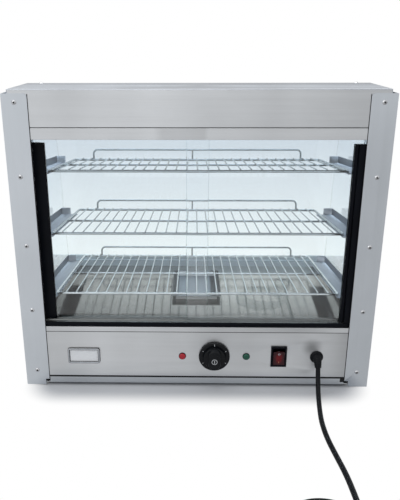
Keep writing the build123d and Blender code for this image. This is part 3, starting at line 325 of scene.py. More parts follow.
@dataclass
class Canvas:
    """One material while it is made: its sheet, shader, output, object coordinates and the shared groups."""

    sheet: Sheet
    shader: Node
    output: Node
    where: Socket
    effects: Effects

    def cloud(self, scale: float, sharpness: float) -> Socket:
        """Soft patches, from 0 to 1."""
        return self.sheet.group(self.effects.cloud, Vector=self.where, Scale=scale, Sharpness=sharpness)["Cloud"]

    def dust(self, amount: float) -> Socket:
        """Dust where the surface looks up, from 0 to 1."""
        normal = self.sheet.add("ShaderNodeNewGeometry").outputs["Normal"]
        return self.sheet.group(self.effects.settled, Vector=self.where, Normal=normal, Amount=amount)["Dust"]

    def bump(self, height: Socket, strength: float, distance: float) -> None:
        """Roughens the shader's normal by a height, as deep as a distance in metres."""
        bump = self.sheet.add("ShaderNodeBump", {"Height": height, "Strength": strength, "Distance": distance})
        self.paint({"Normal": bump.outputs["Normal"]})

    def paint(self, values: Mapping[str, object]) -> None:
        """Feeds inputs of the main shader, by name."""
        self.sheet.fill(self.shader, values)


@dataclass(frozen=True)
class Finish:
    """What every finish has: a name and a base colour."""

    name: str
    colour: Colour

    def build(self, effects: Effects) -> Material:
        """Builds the material.

        Args:
            effects: The shared shader groups.

        Returns:
            The finished material.
        """
        material, sheet = blank_material(self.name)
        material.diffuse_color = opaque(self.colour)
        shader = sheet.add("ShaderNodeBsdfPrincipled")
        output = sheet.add("ShaderNodeOutputMaterial", {"Surface": shader.outputs["BSDF"]})
        where = sheet.add("ShaderNodeTexCoord").outputs["Object"]
        self.write(Canvas(sheet, shader, output, where, effects))
        return material

    def write(self, canvas: Canvas) -> None:
        """Writes the finish's own nodes; each kind of finish has its own."""
        raise NotImplementedError

    def tones(self, low: float, high: float) -> tuple[Rgba, Rgba]:
        """The base colour scaled by two gains."""
        return opaque(self.colour, low), opaque(self.colour, high)


@dataclass(frozen=True)
class BrushedSteel(Finish):
    """Stainless sheet with a brushed grain, faint handling marks, soft painted reflection bands and a little dust
    where it faces up.
    """

    grain: Grain = Grain.ALONG_X
    roughness: float = 0.33
    contrast: float = 0.05
    fineness: float = 900.0
    dust: float = 0.06
    edge: float = 0.85
    reflection_bands: float = 0.16
    reflection_band_stretch: Point = (7.0, 3.0, 1.4)
    anisotropy: float = 0.35
    relief: float = 0.12
    relief_depth: float = 0.00005
    metal: float = 1.0
    uneven: float = 0.06
    marked: float = 0.07
    # Painted light and shade: ramps of brightness along X, Y or Z, and one soft dark spot.
    painted_light_ramps: Sequence[tuple[str, float, float, float, float]] = ()
    spot: Optional[tuple[Point, float, float]] = None

    def write(self, canvas: Canvas) -> None:
        """Writes the grain, handling marks and dust, the painted reflection bands, and the ramps and spot of painted
        light and shade along a sheet.

        Args:
            canvas: The material to write on.
        """
        sheet, where = canvas.sheet, canvas.where
        grain = sheet.group(canvas.effects.brushed, Vector=where, Stretch=self.grain.value, Fineness=self.fineness)
        marks = canvas.cloud(7.0, 2.2)
        reflection_bands = sheet.group(canvas.effects.reflection_bands, Vector=where, Stretch=self.reflection_band_stretch)["Reflection band"]
        steel = sheet.mix(grain["Streak"], *self.tones(1 - self.contrast, 1 + self.contrast))
        marked = sheet.mix(sheet.spread(marks, 0.0, 0.5), steel, opaque(self.colour, 0.86))
        # Painted reflection: soft dark bands across the sheet.
        shaded = sheet.mix(sheet.spread(reflection_bands, 0.0, self.reflection_bands), marked, BLACK)
        # Painted light and shade: the ramps and the dark spot scale the colour.
        parts = sheet.parts(where)
        painted_light_levels = [sheet.remap(parts[axis], *span) for axis, *span in self.painted_light_ramps]
        if self.spot:
            centre, reach, tone = self.spot
            gap = sheet.add("ShaderNodeVectorMath", {0: where, 1: centre}, operation="DISTANCE").outputs["Value"]
            painted_light_levels.append(sheet.remap(gap, 0.0, reach, tone, 1.0, "SMOOTHSTEP"))
        for level in painted_light_levels:
            shaded = sheet.add("ShaderNodeVectorMath", {0: shaded, "Scale": level}, operation="SCALE").outputs[0]
        shine = sheet.spread(grain["Streak"], self.roughness - self.uneven, self.roughness + self.uneven)
        canvas.paint({
            "Base Color": sheet.mix(canvas.dust(self.dust), shaded, PALE_DUST),
            "Roughness": sheet.maths("ADD", shine, sheet.spread(marks, 0.0, self.marked)),
            "Metallic": self.metal,
            "Anisotropic": self.anisotropy,
            "Specular Tint": (self.edge, self.edge, self.edge, 1.0),
        })
        canvas.bump(grain["Height"], self.relief, self.relief_depth)


@dataclass(frozen=True)
class BrightMetal(Finish):
    """Plated or polished metal, nearly smooth, with faint haze."""

    roughness: float = 0.14
    haze: float = 0.10
    scale: float = 30.0

    def write(self, canvas: Canvas) -> None:
        """Writes the metal and its haze.

        Args:
            canvas: The material to write on.
        """
        cloud = canvas.cloud(self.scale, 2.5)
        canvas.paint({
            "Base Color": canvas.sheet.mix(cloud, *self.tones(1.0, 0.86)),
            "Roughness": canvas.sheet.spread(cloud, self.roughness, self.roughness + self.haze),
            "Metallic": 1.0,
        })


@dataclass(frozen=True)
class ClearGlass(Finish):
    """Clear glass that lets lamp light through, with a breath of haze on its faces."""

    ior: float = 1.48
    upper: Colour = (0.66, 0.745, 0.815)
    shade_from: float = 0.15
    shade_to: float = 0.43

    def write(self, canvas: Canvas) -> None:
        """Writes the glass, the painted shade that makes it darker and bluer from the deck up, and its way with lamp
        light.

        Args:
            canvas: The material to write on.
        """
        sheet = canvas.sheet
        # Painted shade: the glass's colour turns to the darker, bluer upper colour as it rises.
        rise = sheet.remap(sheet.parts(canvas.where)["Z"], self.shade_from, self.shade_to)
        shaded = sheet.mix(rise, opaque(self.colour), opaque(self.upper))
        clean = sheet.mix(canvas.cloud(5.0, 1.6), (0.985, 0.985, 0.985, 1.0), WHITE)
        canvas.paint({"Base Color": sheet.mix(1.0, shaded, clean, "MULTIPLY"), "Roughness": 0.0,
                      "Transmission Weight": 1.0, "IOR": self.ior})
        through = sheet.add("ShaderNodeBsdfTransparent", {"Color": opaque(self.colour)})
        lamp_ray = sheet.add("ShaderNodeLightPath").outputs["Is Shadow Ray"]
        mixed = sheet.add("ShaderNodeMixShader", {0: lamp_ray, 1: canvas.shader.outputs["BSDF"],
                                                  2: through.outputs["BSDF"]})
        sheet.fill(canvas.output, {"Surface": mixed.outputs[0]})


@dataclass(frozen=True)
class Moulded(Finish):
    """Moulded plastic, rubber or ceramic: a fine even texture, patchy sheen and a little dust."""

    roughness: float = 0.42
    texture: float = 1400.0
    depth: float = 0.10
    dust: float = 0.03
    patch: float = 0.25
    shine: float = 0.25
    grain_depth: float = 0.0001

    def write(self, canvas: Canvas) -> None:
        """Writes the patches, the dust and the texture.

        Args:
            canvas: The material to write on.
        """
        sheet = canvas.sheet
        patches = canvas.cloud(14.0, 2.4)
        body = sheet.mix(patches, *self.tones(1 - self.patch, 1 + self.patch))
        canvas.paint({
            "Base Color": sheet.mix(canvas.dust(self.dust), body, GREY_DUST),
            "Roughness": sheet.spread(patches, self.roughness - 0.05, self.roughness + 0.08),
            "Specular IOR Level": self.shine,
        })
        canvas.bump(sheet.noise(canvas.where, self.texture, 2.0, 0.5), self.depth, self.grain_depth)


@dataclass(frozen=True)
class LampLens(Finish):
    """A translucent coloured lens under a clear gloss."""

    glow: float = 0.0

    def write(self, canvas: Canvas) -> None:
        """Writes the lens and its faint glow.

        Args:
            canvas: The material to write on.
        """
        canvas.paint({
            "Base Color": canvas.sheet.mix(canvas.cloud(160.0, 2.0), *self.tones(0.75, 1.2)),
            "Roughness": 0.3,
            "Specular IOR Level": 0.3,
            "Coat Weight": 0.25,
            "Coat Roughness": 0.05,
            "Emission Color": opaque(self.colour),
            "Emission Strength": self.glow,
        })


@dataclass(frozen=True)
class RockerCap(Finish):
    """A dark translucent rocker, redder at its middle, with a printed ring above and a bar below."""

    glow_colour: Colour = (0.17, 0.010, 0.014)
    ring_colour: Colour = (0.55, 0.56, 0.58)
    bar_colour: Colour = (0.45, 0.20, 0.10)
    middle: Point = (0.157, -0.198, 0.0645)
    glow_from: float = 0.0115
    glow_to: float = 0.004
    ring_rise: float = 0.0088
    ring_radius: float = 0.0018
    ring_half_width: float = 0.0005
    bar_drop: float = 0.0092
    bar_half_length: float = 0.002

    def near(self, sheet: Sheet, where: Socket, rise: float, squash: Point) -> Socket:
        """The distance from a point of the rocker's face, in metres.

        Args:
            sheet: The material's sheet.
            where: The object coordinates' socket.
            rise: The point's height over the rocker's middle.
            squash: A factor for each direction.

        Returns:
            The distance's socket.
        """
        x, y, z = self.middle
        scaled = sheet.vectors("MULTIPLY", sheet.vectors("SUBTRACT", where, (x, y, z + rise)), squash)
        return sheet.add("ShaderNodeVectorMath", {0: scaled}, operation="LENGTH").outputs["Value"]

    def write(self, canvas: Canvas) -> None:
        """Writes the glow and the two printed marks.

        Args:
            canvas: The material to write on.
        """
        sheet, where = canvas.sheet, canvas.where
        inward = self.near(sheet, where, 0.0, (1.3, 0.0, 0.75))
        glow = sheet.remap(inward, self.glow_to, self.glow_from, 1.0, 0.0, "SMOOTHSTEP")
        body = sheet.mix(glow, opaque(self.colour), opaque(self.glow_colour))
        around = self.near(sheet, where, self.ring_rise, (1.0, 0.0, 1.0))
        line = sheet.maths("ABSOLUTE", sheet.maths("SUBTRACT", around, self.ring_radius))
        ring = sheet.maths("LESS_THAN", line, self.ring_half_width)
        below = self.near(sheet, where, -self.bar_drop, (4.0, 0.0, 1.0))
        bar = sheet.maths("LESS_THAN", below, self.bar_half_length)
        ringed = sheet.mix(ring, body, opaque(self.ring_colour))
        canvas.paint({
            "Base Color": sheet.mix(bar, ringed, opaque(self.bar_colour)),
            "Roughness": sheet.spread(canvas.cloud(120.0, 2.0), 0.24, 0.36),
            "Specular IOR Level": 0.2,
        })


STEEL: Colour = (0.672, 0.694, 0.720)

FINISHES: Mapping[str, Finish] = {
    "stainless_sheet": BrushedSteel("brushed stainless sheet", STEEL),
    "hood_steel": BrushedSteel("hood stainless", (0.575, 0.61, 0.66), edge=0.45, reflection_bands=0.2),
    "post_steel": BrushedSteel("post stainless", (0.610, 0.650, 0.697), Grain.ALONG_Z, contrast=0.025,
                               reflection_bands=0.08, reflection_band_stretch=(1.0, 2.0, 4.0)),
    # Painted shade: lighter from X 0.10 m on, darker towards the right end, and a dark soft spot of shade just above
    # the cord gland.
    "panel_steel": BrushedSteel("panel stainless", STEEL,
                                painted_light_ramps=(("X", 0.10, 0.17, 1.0, 1.14), ("X", 0.22, 0.28, 1.0, 0.66)),
                                spot=((0.219, -0.1946, 0.085), 0.024, 0.5)),
    # Painted reflection: the deck is lighter towards the back and darker towards the left, the front and both side
    # edges.
    "polished_deck": BrushedSteel("polished deck", (0.44, 0.44, 0.425), Grain.ALONG_Y, roughness=0.095,
                                  contrast=0.07, dust=0.02, reflection_bands=0.2, anisotropy=0.0, relief=0.05,
                                  painted_light_ramps=(("Y", -0.10, 0.12, 1.0, 1.4), ("X", -0.29, -0.15, 0.72, 1.0),
                                         ("X", -0.06, 0.08, 0.74, 1.0), ("Y", 0.130, 0.145, 1.0, 1.6),
                                         ("Y", -0.06, 0.0, 0.9, 1.0), ("X", -0.275, -0.255, 0.5, 1.0),
                                         ("X", 0.262, 0.282, 1.0, 0.45))),
    "groove_steel": BrushedSteel("track groove steel", (0.21, 0.22, 0.22), roughness=0.35),
    "channel_steel": BrushedSteel("channel steel", (0.48, 0.50, 0.53), Grain.ALONG_Z, roughness=0.38),
    "inner_steel": BrushedSteel("plated inner steel", (0.42, 0.43, 0.45), roughness=0.45),
    "bracket_steel": BrushedSteel("bracket steel", (0.41, 0.46, 0.53), Grain.ALONG_Y, roughness=0.34, dust=0.0),
    "chrome_wire": BrightMetal("bright shelf wire", (0.37, 0.43, 0.46), roughness=0.14, haze=0.10),
    # Painted light: the bottom shelf's wire is a lighter copy of the shelf chrome.
    "low_wire": BrightMetal("bright bottom shelf wire", (0.62, 0.68, 0.71), roughness=0.12, haze=0.08),
    "screw_steel": BrightMetal("bright screws", (0.52, 0.53, 0.55), roughness=0.22, haze=0.12, scale=200.0),
    # Painted light: pale, nearly matt copies of the steel, so that the rear rim, the glass channels and the tray
    # walls read light inside the case and in the deck's reflection.
    "rim_steel": BrushedSteel("rear rim steel", (0.60, 0.69, 0.78), roughness=0.4, reflection_bands=0.05,
                              metal=0.1),
    "foot_channel": BrushedSteel("glass foot channel", (0.68, 0.75, 0.82), roughness=0.42,
                                 reflection_bands=0.05, metal=0.1),
    "tray_walls": BrushedSteel("water tray walls", (0.88, 0.92, 0.95), roughness=0.45, reflection_bands=0.05,
                               metal=0.1),
    # Painted light and shade: soft lighter and darker stretches across the fascia, darker towards its right end.
    "fascia_steel": BrushedSteel("fascia stainless", STEEL,
                                 painted_light_ramps=(("X", -0.19, -0.10, 0.99, 1.04), ("X", -0.06, 0.02, 1.0, 0.97),
                                        ("X", 0.16, 0.30, 1.0, 0.90))),
    # Painted light and shade: soft lighter and darker stretches across the rail.
    "rail_steel": BrushedSteel("rail stainless", STEEL,
                               painted_light_ramps=(("X", -0.13, -0.08, 1.0, 1.05), ("X", -0.075, -0.06, 1.0, 0.87),
                                      ("X", 0.010, 0.018, 1.0, 1.16))),
    "strip_steel": BrushedSteel("base strip steel", (0.60, 0.63, 0.66), roughness=0.4, reflection_bands=0.05),
    # Painted shade: the tray's floor darkens in strips along both sides.
    "tray_steel": BrushedSteel("water tray steel", (0.30, 0.35, 0.41), roughness=0.3, dust=0.0,
                               painted_light_ramps=(("X", -0.042, -0.037, 0.25, 1.0), ("X", 0.029, 0.034, 1.0, 0.25))),
    "clear_glass": ClearGlass("case glass", (0.90, 0.985, 1.0)),
    "door_glass": ClearGlass("door glass", (0.985, 0.995, 1.0), upper=(0.97, 0.985, 0.995), ior=1.42),
    "black_plastic": Moulded("black moulded plastic", (0.004, 0.005, 0.008), roughness=0.34, shine=0.07),
    "knob_plastic": Moulded("knob plastic", (0.004, 0.005, 0.007), roughness=0.26, texture=2200.0, shine=0.17),
    "black_rubber": Moulded("foot rubber", (0.012, 0.012, 0.013), roughness=0.70, texture=900.0, depth=0.25),
    "cord_rubber": Moulded("cord rubber", (0.005, 0.006, 0.008), roughness=0.40, texture=1100.0, depth=0.15,
                           shine=0.12),
    "plate_chrome": BrightMetal("nameplate chrome", (0.38, 0.40, 0.43), roughness=0.10, haze=0.06, scale=120.0),
    "blank_label": Moulded("blank label", (0.95, 0.96, 0.97), roughness=0.35, texture=500.0, depth=0.03,
                           patch=0.03),
    "red_lens": LampLens("red lens", (0.42, 0.012, 0.025), glow=0.06),
    "green_lens": LampLens("green lens", (0.002, 0.085, 0.050), glow=0.01),
    "rocker_red": RockerCap("rocker red", (0.046, 0.012, 0.015)),
    "element_steel": BrushedSteel("element sheath", (0.16, 0.15, 0.14), roughness=0.55, contrast=0.3),
    "thermostat_metal": BrushedSteel("thermostat case", (0.48, 0.48, 0.46), Grain.ALONG_Z, roughness=0.4),
    "copper_bulb": BrightMetal("copper tube", (0.65, 0.36, 0.24), roughness=0.28, haze=0.15),
    "terminal_ceramic": Moulded("terminal ceramic", (0.70, 0.67, 0.60), roughness=0.5, patch=0.06),
    "pin_brass": BrightMetal("pin brass", (0.66, 0.52, 0.28), roughness=0.2, haze=0.12),
}


@dataclass
class Palette:
    """The built materials, by the record's slot names, with the extra ones that pieces share."""

    slots: dict[str, Material]
    glass_edge: Material
    bent_edge: Material
    print_white: Material
    painted_recess_shadow: Material

    @classmethod
    def mixed(cls, effects: Effects) -> "Palette":
        """Builds every material once."""
        slots = {slot: finish.build(effects) for slot, finish in FINISHES.items()}
        edge = ClearGlass("ground glass edge", (0.62, 0.82, 0.78)).build(effects)
        bent = Moulded("ground edge of the bent glass", (0.56, 0.70, 0.67), roughness=0.3, depth=0.02,
                       patch=0.03).build(effects)
        white = Moulded("printed white", (0.72, 0.73, 0.74), roughness=0.5, depth=0.02, patch=0.03).build(effects)
        dark = Moulded("recess shadow", (0.03, 0.03, 0.03), roughness=0.6).build(effects)
        return cls(slots, edge, bent, white, dark)


# Meshes


def finished_mesh(bm: BMesh, name: str, crease: float = 35.0) -> Mesh:
    """Turns a bmesh into a smooth-shaded mesh with sharp creases.

    Args:
        bm: The source, which is freed.
        name: The mesh's name.
        crease: Edges that turn by more than this, in degrees, stay sharp.

    Returns:
        The new mesh.
    """
    mesh = bpy.data.meshes.new(name)
    bm.to_mesh(mesh)
    bm.free()
    mesh.shade_smooth()
    mesh.set_sharp_from_angle(angle=math.radians(crease))
    return mesh


def outward(bm: BMesh) -> BMesh:
    """Merges doubled points and turns every face outwards."""
    bmesh.ops.remove_doubles(bm, verts=bm.verts, dist=1e-6)
    bmesh.ops.recalc_face_normals(bm, faces=bm.faces)
    return bm


def placed(name: str, data: bpy.types.ID) -> Object:
    """A new object with its data, in the scene."""
    thing = bpy.data.objects.new(name, data)
    bpy.context.scene.collection.objects.link(thing)
    return thing


def cleared(*things: Object) -> None:
    """Removes objects together with their meshes."""
    for thing in things:
        mesh = thing.data
        bpy.data.objects.remove(thing)
        bpy.data.meshes.remove(mesh)


class Workshop:
    """Puts finished pieces into the scene and on their bodies."""

    def __init__(self, palette: Palette) -> None:
        """Keeps the palette.

        Args:
            palette: The built materials.
        """
        self.palette = palette

    def show(self, name: str, mesh: Mesh, slot: str, body: Body, stands_for: Iterable[str] = (),
             extra: Iterable[Material] = ()) -> Object:
        """Adds a piece.

        Args:
            name: The piece's name.
            mesh: Its mesh, in the frame.
            slot: The record's material slot that it takes its finish from.
            body: The body that it rides on.
            stands_for: The CAD nodes that it replaces.
            extra: Further materials, after the slot's own.

        Returns:
            The piece's object.
        """
        if not mesh.materials:
            for material in (self.palette.slots[slot], *extra):
                mesh.materials.append(material)
        piece = placed(name, mesh)
        nodes = list(stands_for)
        if nodes:
            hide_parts(*nodes)
        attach(piece, body.value)
        LOG.info("%s: %d faces on %s", name, len(mesh.polygons), body.value)
        return piece

    def put(self, name: str, bm: BMesh, slot: str, body: Body, stands_for: Iterable[str] = (),
            extra: Iterable[Material] = (), crease: float = 35.0,
            finishes: Iterable[str] = ()) -> Object:
        """Adds a piece from a bmesh.

        Args:
            name: The piece's name.
            bm: Its shape, which is freed.
            slot: The record's material slot.
            body: The body that it rides on.
            stands_for: The CAD nodes that it replaces.
            extra: Further materials, after the slot's own.
            crease: Edges that turn by more than this, in degrees, stay sharp.
            finishes: The finishes it wears in place of the slot's own.

        Returns:
            The piece's object.
        """
        mesh = finished_mesh(bm, name, crease)
        for finish in finishes:
            mesh.materials.append(self.palette.slots[finish])
        return self.show(name, mesh, slot, body, stands_for, extra)

    def dress(self, node: str, slot: str) -> None:
        """Gives a CAD node that stays its finish."""
        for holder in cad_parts[node].material_slots:
            holder.material = self.palette.slots[slot]
        LOG.info("%s: dressed in %s", node, slot)


def node_copy(node: str) -> BMesh:
    """A CAD node's mesh with its points merged and its flat faces joined."""
    bm = bmesh.new()
    bm.from_mesh(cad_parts[node].data)
    bmesh.ops.remove_doubles(bm, verts=bm.verts, dist=1e-6)
    bmesh.ops.dissolve_limit(bm, angle_limit=math.radians(0.4), verts=bm.verts, edges=bm.edges)
    return bm


def ease(bm: BMesh, width: float, least: float = 0.004, turn: float = 40.0) -> None:
    """Rounds the long sharp edges of a mesh a little.

    Args:
        bm: The mesh.
        width: How far the rounding reaches, in metres.
        least: Shorter edges stay as they are, in metres.
        turn: Edges that turn by less stay as they are, in degrees.
    """
    limit = math.radians(turn)
    sharp = [edge for edge in bm.edges
             if len(edge.link_faces) == 2 and edge.calc_length() > least and edge.calc_face_angle(0.0) > limit]
    bmesh.ops.bevel(bm, geom=sharp, offset=width, segments=1, affect="EDGES", clamp_overlap=True, loop_slide=True)
    bm.normal_update()


def ring(bm: BMesh, centre: Vector, side: Vector, other: Vector, radius: float,
         count: int) -> list[bmesh.types.BMVert]:
    """Points round a circle.

    Args:
        bm: The mesh that takes them.
        centre: The circle's middle.
        side: The direction of the first point.
        other: The direction of the point a quarter turn on.
        radius: The circle's radius, in millimetres.
        count: The number of points.

    Returns:
        The points, in order.
    """
    turns = (2 * math.pi * index / count for index in range(count))
    return [bm.verts.new(centre + (side * math.cos(a) + other * math.sin(a)) * (radius * MM)) for a in turns]


def turned(profile: Profile, centre: Vector, axis: Vector, sides: int = 48, loop: bool = False) -> BMesh:
    """A closed solid of revolution.

    Args:
        profile: Radius and distance along the axis of each corner, in millimetres, from one end to the other.
        centre: The axis's start.
        axis: The direction of the axis.
        sides: The number of faces round it.
        loop: Whether the profile closes on itself, as a ring's does.

    Returns:
        The solid.
    """
    bm = bmesh.new()
    along = axis.normalized()
    side = along.orthogonal().normalized()
    other = along.cross(side)
    rings: list[list[bmesh.types.BMVert]] = []
    for radius, distance in profile:
        here = centre + along * (distance * MM)
        rings.append([bm.verts.new(here)] if radius < 1e-6 else ring(bm, here, side, other, radius, sides))
    join_rings(bm, rings, loop)
    return outward(bm)


def join_rings(bm: BMesh, rings: Sequence[Sequence[bmesh.types.BMVert]], loop: bool = False) -> None:
    """Skins a row of rings and closes both ends.

    Args:
        bm: The mesh that holds the rings.
        rings: Rings of one size, or single points at the ends.
        loop: Whether the last ring joins the first, instead of caps.
    """
    onward = [*rings[1:], rings[0]] if loop else rings[1:]
    for low, high in zip(rings, onward):
        count = max(len(low), len(high))
        for index in range(count):
            following = (index + 1) % count
            corners = [low[index % len(low)], low[following % len(low)],
                       high[following % len(high)], high[index % len(high)]]
            distinct = [corner for number, corner in enumerate(corners) if corner not in corners[:number]]
            if len(distinct) > 2:
                bm.faces.new(distinct)
    for end in () if loop else (rings[0], rings[-1]):
        if len(end) > 2:
            bm.faces.new(end)


def rounded_outline(width: float, height: float, corner: float, steps: int = 8) -> list[tuple[float, float]]:
    """A rectangle with round corners.

    Args:
        width: Its whole width.
        height: Its whole height.
        corner: The corners' radius.
        steps: Points in each corner.

    Returns:
        The outline's points, in order.
    """
    points = []
    for quarter, (sx, sy) in enumerate(((1, 1), (-1, 1), (-1, -1), (1, -1))):
        cx = sx * (width / 2 - corner)
        cy = sy * (height / 2 - corner)
        for step in range(steps + 1):
            angle = math.pi / 2 * (quarter + step / steps)
            points.append((cx + corner * math.cos(angle), cy + corner * math.sin(angle)))
    return points


def stacked(layers: Sequence[tuple[float, Sequence[tuple[float, float]]]], origin: Vector, across: Vector,
            up: Vector, out: Vector, loop: bool = False) -> BMesh:
    """A closed solid through a stack of outlines.

    Args:
        layers: Distance outwards and outline of each layer, in millimetres.
        origin: Where the outlines' own middle lies.
        across: The direction of their first coordinate.
        up: The direction of their second coordinate.
        out: The direction that the layers are stacked in.
        loop: Whether the last layer joins the first, as a frame's does.

    Returns:
        The solid.
    """
    bm = bmesh.new()
    rings = []
    for distance, outline in layers:
        base = origin + out * (distance * MM)
        rings.append([bm.verts.new(base + across * (x * MM) + up * (y * MM)) for x, y in outline])
    join_rings(bm, rings, loop)
    return outward(bm)


def joined(parts: Sequence[BMesh]) -> BMesh:
    """Gathers several meshes into the first one."""
    whole = parts[0]
    for part in parts[1:]:
        spare = bpy.data.meshes.new("spare")
        part.to_mesh(spare)
        part.free()
        whole.from_mesh(spare)
        bpy.data.meshes.remove(spare)
    return whole


def painted(bm: BMesh, second: Callable[[bmesh.types.BMFace], bool]) -> BMesh:
    """Gives the faces that pass a test the second material, and the others the first."""
    for face in bm.faces:
        face.material_index = 1 if second(face) else 0
    return bm



# Geometry node trees


class Grower:
    """Builds one geometry node tree and grows meshes from it."""

    def __init__(self, name: str, inputs: Mapping[str, str]) -> None:
        """Starts the tree.

        Args:
            name: The tree's name.
            inputs: Socket kinds by input name.
        """
        self.tree = bpy.data.node_groups.new(name, "GeometryNodeTree")
        self.tree.interface.new_socket(name="Geometry", in_out="INPUT", socket_type="NodeSocketGeometry")
        for label, kind in inputs.items():
            self.tree.interface.new_socket(name=label, in_out="INPUT", socket_type=kind)
        self.tree.interface.new_socket(name="Geometry", in_out="OUTPUT", socket_type="NodeSocketGeometry")
        self.sheet = Sheet(self.tree)
        self.given = self.sheet.add("NodeGroupInput").outputs
        self.result = self.sheet.add("NodeGroupOutput")

    def close(self, geometry: Socket) -> None:
        """Ends the tree: real meshes, smooth shading and the material.

        Args:
            geometry: The geometry's socket.
        """
        real = self.sheet.add("GeometryNodeRealizeInstances", {0: geometry}).outputs[0]
        smooth = self.sheet.add("GeometryNodeSetShadeSmooth", {"Geometry": real, "Shade Smooth": True}).outputs[0]
        number = self.sheet.add("GeometryNodeInputMaterialIndex").outputs[0]
        main = self.test("LESS_THAN", number, 0.5)
        coated = self.sheet.add("GeometryNodeSetMaterial", {"Geometry": smooth, "Selection": main,
                                                            "Material": self.given["Material"]})
        self.sheet.feed(self.result.inputs[0], coated.outputs[0])

    def swept(self, curve: Socket, radius: object, sides: int) -> Socket:
        """A round bar along a curve, with its open ends closed."""
        circle = self.sheet.add("GeometryNodeCurvePrimitiveCircle", {"Radius": radius, "Resolution": sides})
        return self.sheet.add("GeometryNodeCurveToMesh", {"Curve": curve, "Profile Curve": circle.outputs[0],
                                                          "Fill Caps": True}).outputs[0]

    def bar(self, start: object, end: object, radius: object, sides: int) -> Socket:
        """A round bar between two points."""
        line = self.sheet.add("GeometryNodeCurvePrimitiveLine", {"Start": start, "End": end}).outputs[0]
        return self.swept(line, radius, sides)

    def bent(self, curve: Socket) -> Socket:
        """A curve with its corners rounded by the input Corner."""
        return self.sheet.add("GeometryNodeFilletCurve", {"Curve": curve, "Radius": self.given["Corner"],
                                                          "Count": 8}, mode="POLY").outputs[0]

    def moved(self, geometry: Socket, place: object) -> Socket:
        """A geometry at another place."""
        return self.sheet.add("GeometryNodeTransform", {"Geometry": geometry, "Translation": place}).outputs[0]

    def test(self, operation: str, first: object, second: float) -> Socket:
        """The socket of a comparison of two values."""
        return self.sheet.add("FunctionNodeCompare", {0: first, 1: second}, data_type="FLOAT",
                              operation=operation).outputs[0]

    def choice(self, chosen: Socket, plain: object, other: object) -> Socket:
        """The socket of the other value where a test holds, and of the plain one elsewhere."""
        return self.sheet.add("GeometryNodeSwitch", {0: chosen, 1: plain, 2: other}, input_type="FLOAT").outputs[0]

    def assemble(self, parts: Sequence[Socket]) -> None:
        """Joins the parts, tips them by the input Slope, sets them at Place and ends the tree.

        Args:
            parts: The parts' geometry sockets.
        """
        whole = self.sheet.add("GeometryNodeJoinGeometry")
        for geometry in parts:
            self.tree.links.new(geometry, whole.inputs[0])
        rotation = self.sheet.add("FunctionNodeEulerToRotation", {0: self.sheet.vector(self.given["Slope"])})
        placed_whole = self.sheet.add("GeometryNodeTransform", {
            "Geometry": whole.outputs[0], "Translation": self.given["Place"], "Rotation": rotation.outputs[0]})
        self.close(placed_whole.outputs[0])

    def grow(self, name: str, values: Mapping[str, object], base: Optional[Mesh] = None,
             crease: float = 40.0) -> Mesh:
        """Evaluates the tree.

        Args:
            name: The mesh's name.
            values: Input values by name.
            base: The mesh that goes in, if the tree reads one.
            crease: Edges that turn by more than this, in degrees, are made sharp.

        Returns:
            A plain mesh with the tree's result.
        """
        holder = placed(name, base or bpy.data.meshes.new(name + " seed"))
        modifier = holder.modifiers.new("Grow", "NODES")
        modifier.node_group = self.tree
        for item in self.tree.interface.items_tree:
            if item.item_type == "SOCKET" and item.in_out == "INPUT" and item.name in values:
                modifier[item.identifier] = values[item.name]
        graph = bpy.context.evaluated_depsgraph_get()
        mesh = bpy.data.meshes.new_from_object(holder.evaluated_get(graph), preserve_all_data_layers=True,
                                               depsgraph=graph)
        cleared(holder)
        mesh.name = name
        mesh.set_sharp_from_angle(angle=math.radians(crease))
        return mesh


WIRE_PIECE: Mapping[str, str] = {"Depth": FLOAT, "Corner": FLOAT, "Slope": FLOAT, "Place": VECTOR,
                                 "Material": "NodeSocketMaterial"}


def shelf_grower() -> Grower:
    """The tree that lays out one wire shelf: frame, middle rail, cross wires and weld spots.

    Returns:
        The grower, with inputs for every size.
    """
    sizes = ("Half width", "Frame radius", "Wire radius", "Wire height", "Middle share", "Middle radius",
             "Middle height")
    grower = Grower("Wire shelf", {**dict.fromkeys(sizes, FLOAT), "Gaps": "NodeSocketInt", **WIRE_PIECE})
    sheet, given = grower.sheet, grower.given
    half_width, depth, wire_radius = given["Half width"], given["Depth"], given["Wire radius"]
    width = sheet.maths("MULTIPLY", half_width, 2.0)
    loop = sheet.add("GeometryNodeCurvePrimitiveQuadrilateral", {"Width": width, "Height": depth}).outputs[0]
    frame_path = grower.moved(grower.bent(loop), sheet.vector(y=sheet.maths("DIVIDE", depth, 2.0)))
    outer = grower.swept(frame_path, given["Frame radius"], 12)
    middle_y = sheet.maths("MULTIPLY", depth, given["Middle share"])
    left = sheet.maths("MULTIPLY", half_width, -1.0)
    middle = grower.bar(sheet.vector(left, middle_y, given["Middle height"]),
                        sheet.vector(half_width, middle_y, given["Middle height"]), given["Middle radius"], 10)
    wire = grower.bar(sheet.vector(), sheet.vector(y=depth), wire_radius, 8)
    pitch = sheet.maths("DIVIDE", width, given["Gaps"])
    first = sheet.vector(sheet.maths("ADD", left, pitch), 0.0, given["Wire height"])
    row = sheet.add("GeometryNodeMeshLine", {"Count": sheet.maths("SUBTRACT", given["Gaps"], 1.0),
                                             "Start Location": first, "Offset": sheet.vector(pitch)},
                    mode="OFFSET").outputs[0]
    ball = sheet.add("GeometryNodeMeshUVSphere", {"Segments": 8, "Rings": 5,
                                                  "Radius": sheet.maths("MULTIPLY", wire_radius, 1.25)}).outputs[0]
    wires, spots = (sheet.add("GeometryNodeInstanceOnPoints", {"Points": row, "Instance": thing}).outputs[0]
                    for thing in (wire, ball))
    lowered = sheet.maths("MULTIPLY", wire_radius, -0.8)
    welds = [grower.moved(spots, sheet.vector(y=place, z=lowered)) for place in (0.0, middle_y, depth)]
    grower.assemble((outer, middle, wires, *welds))
    return grower


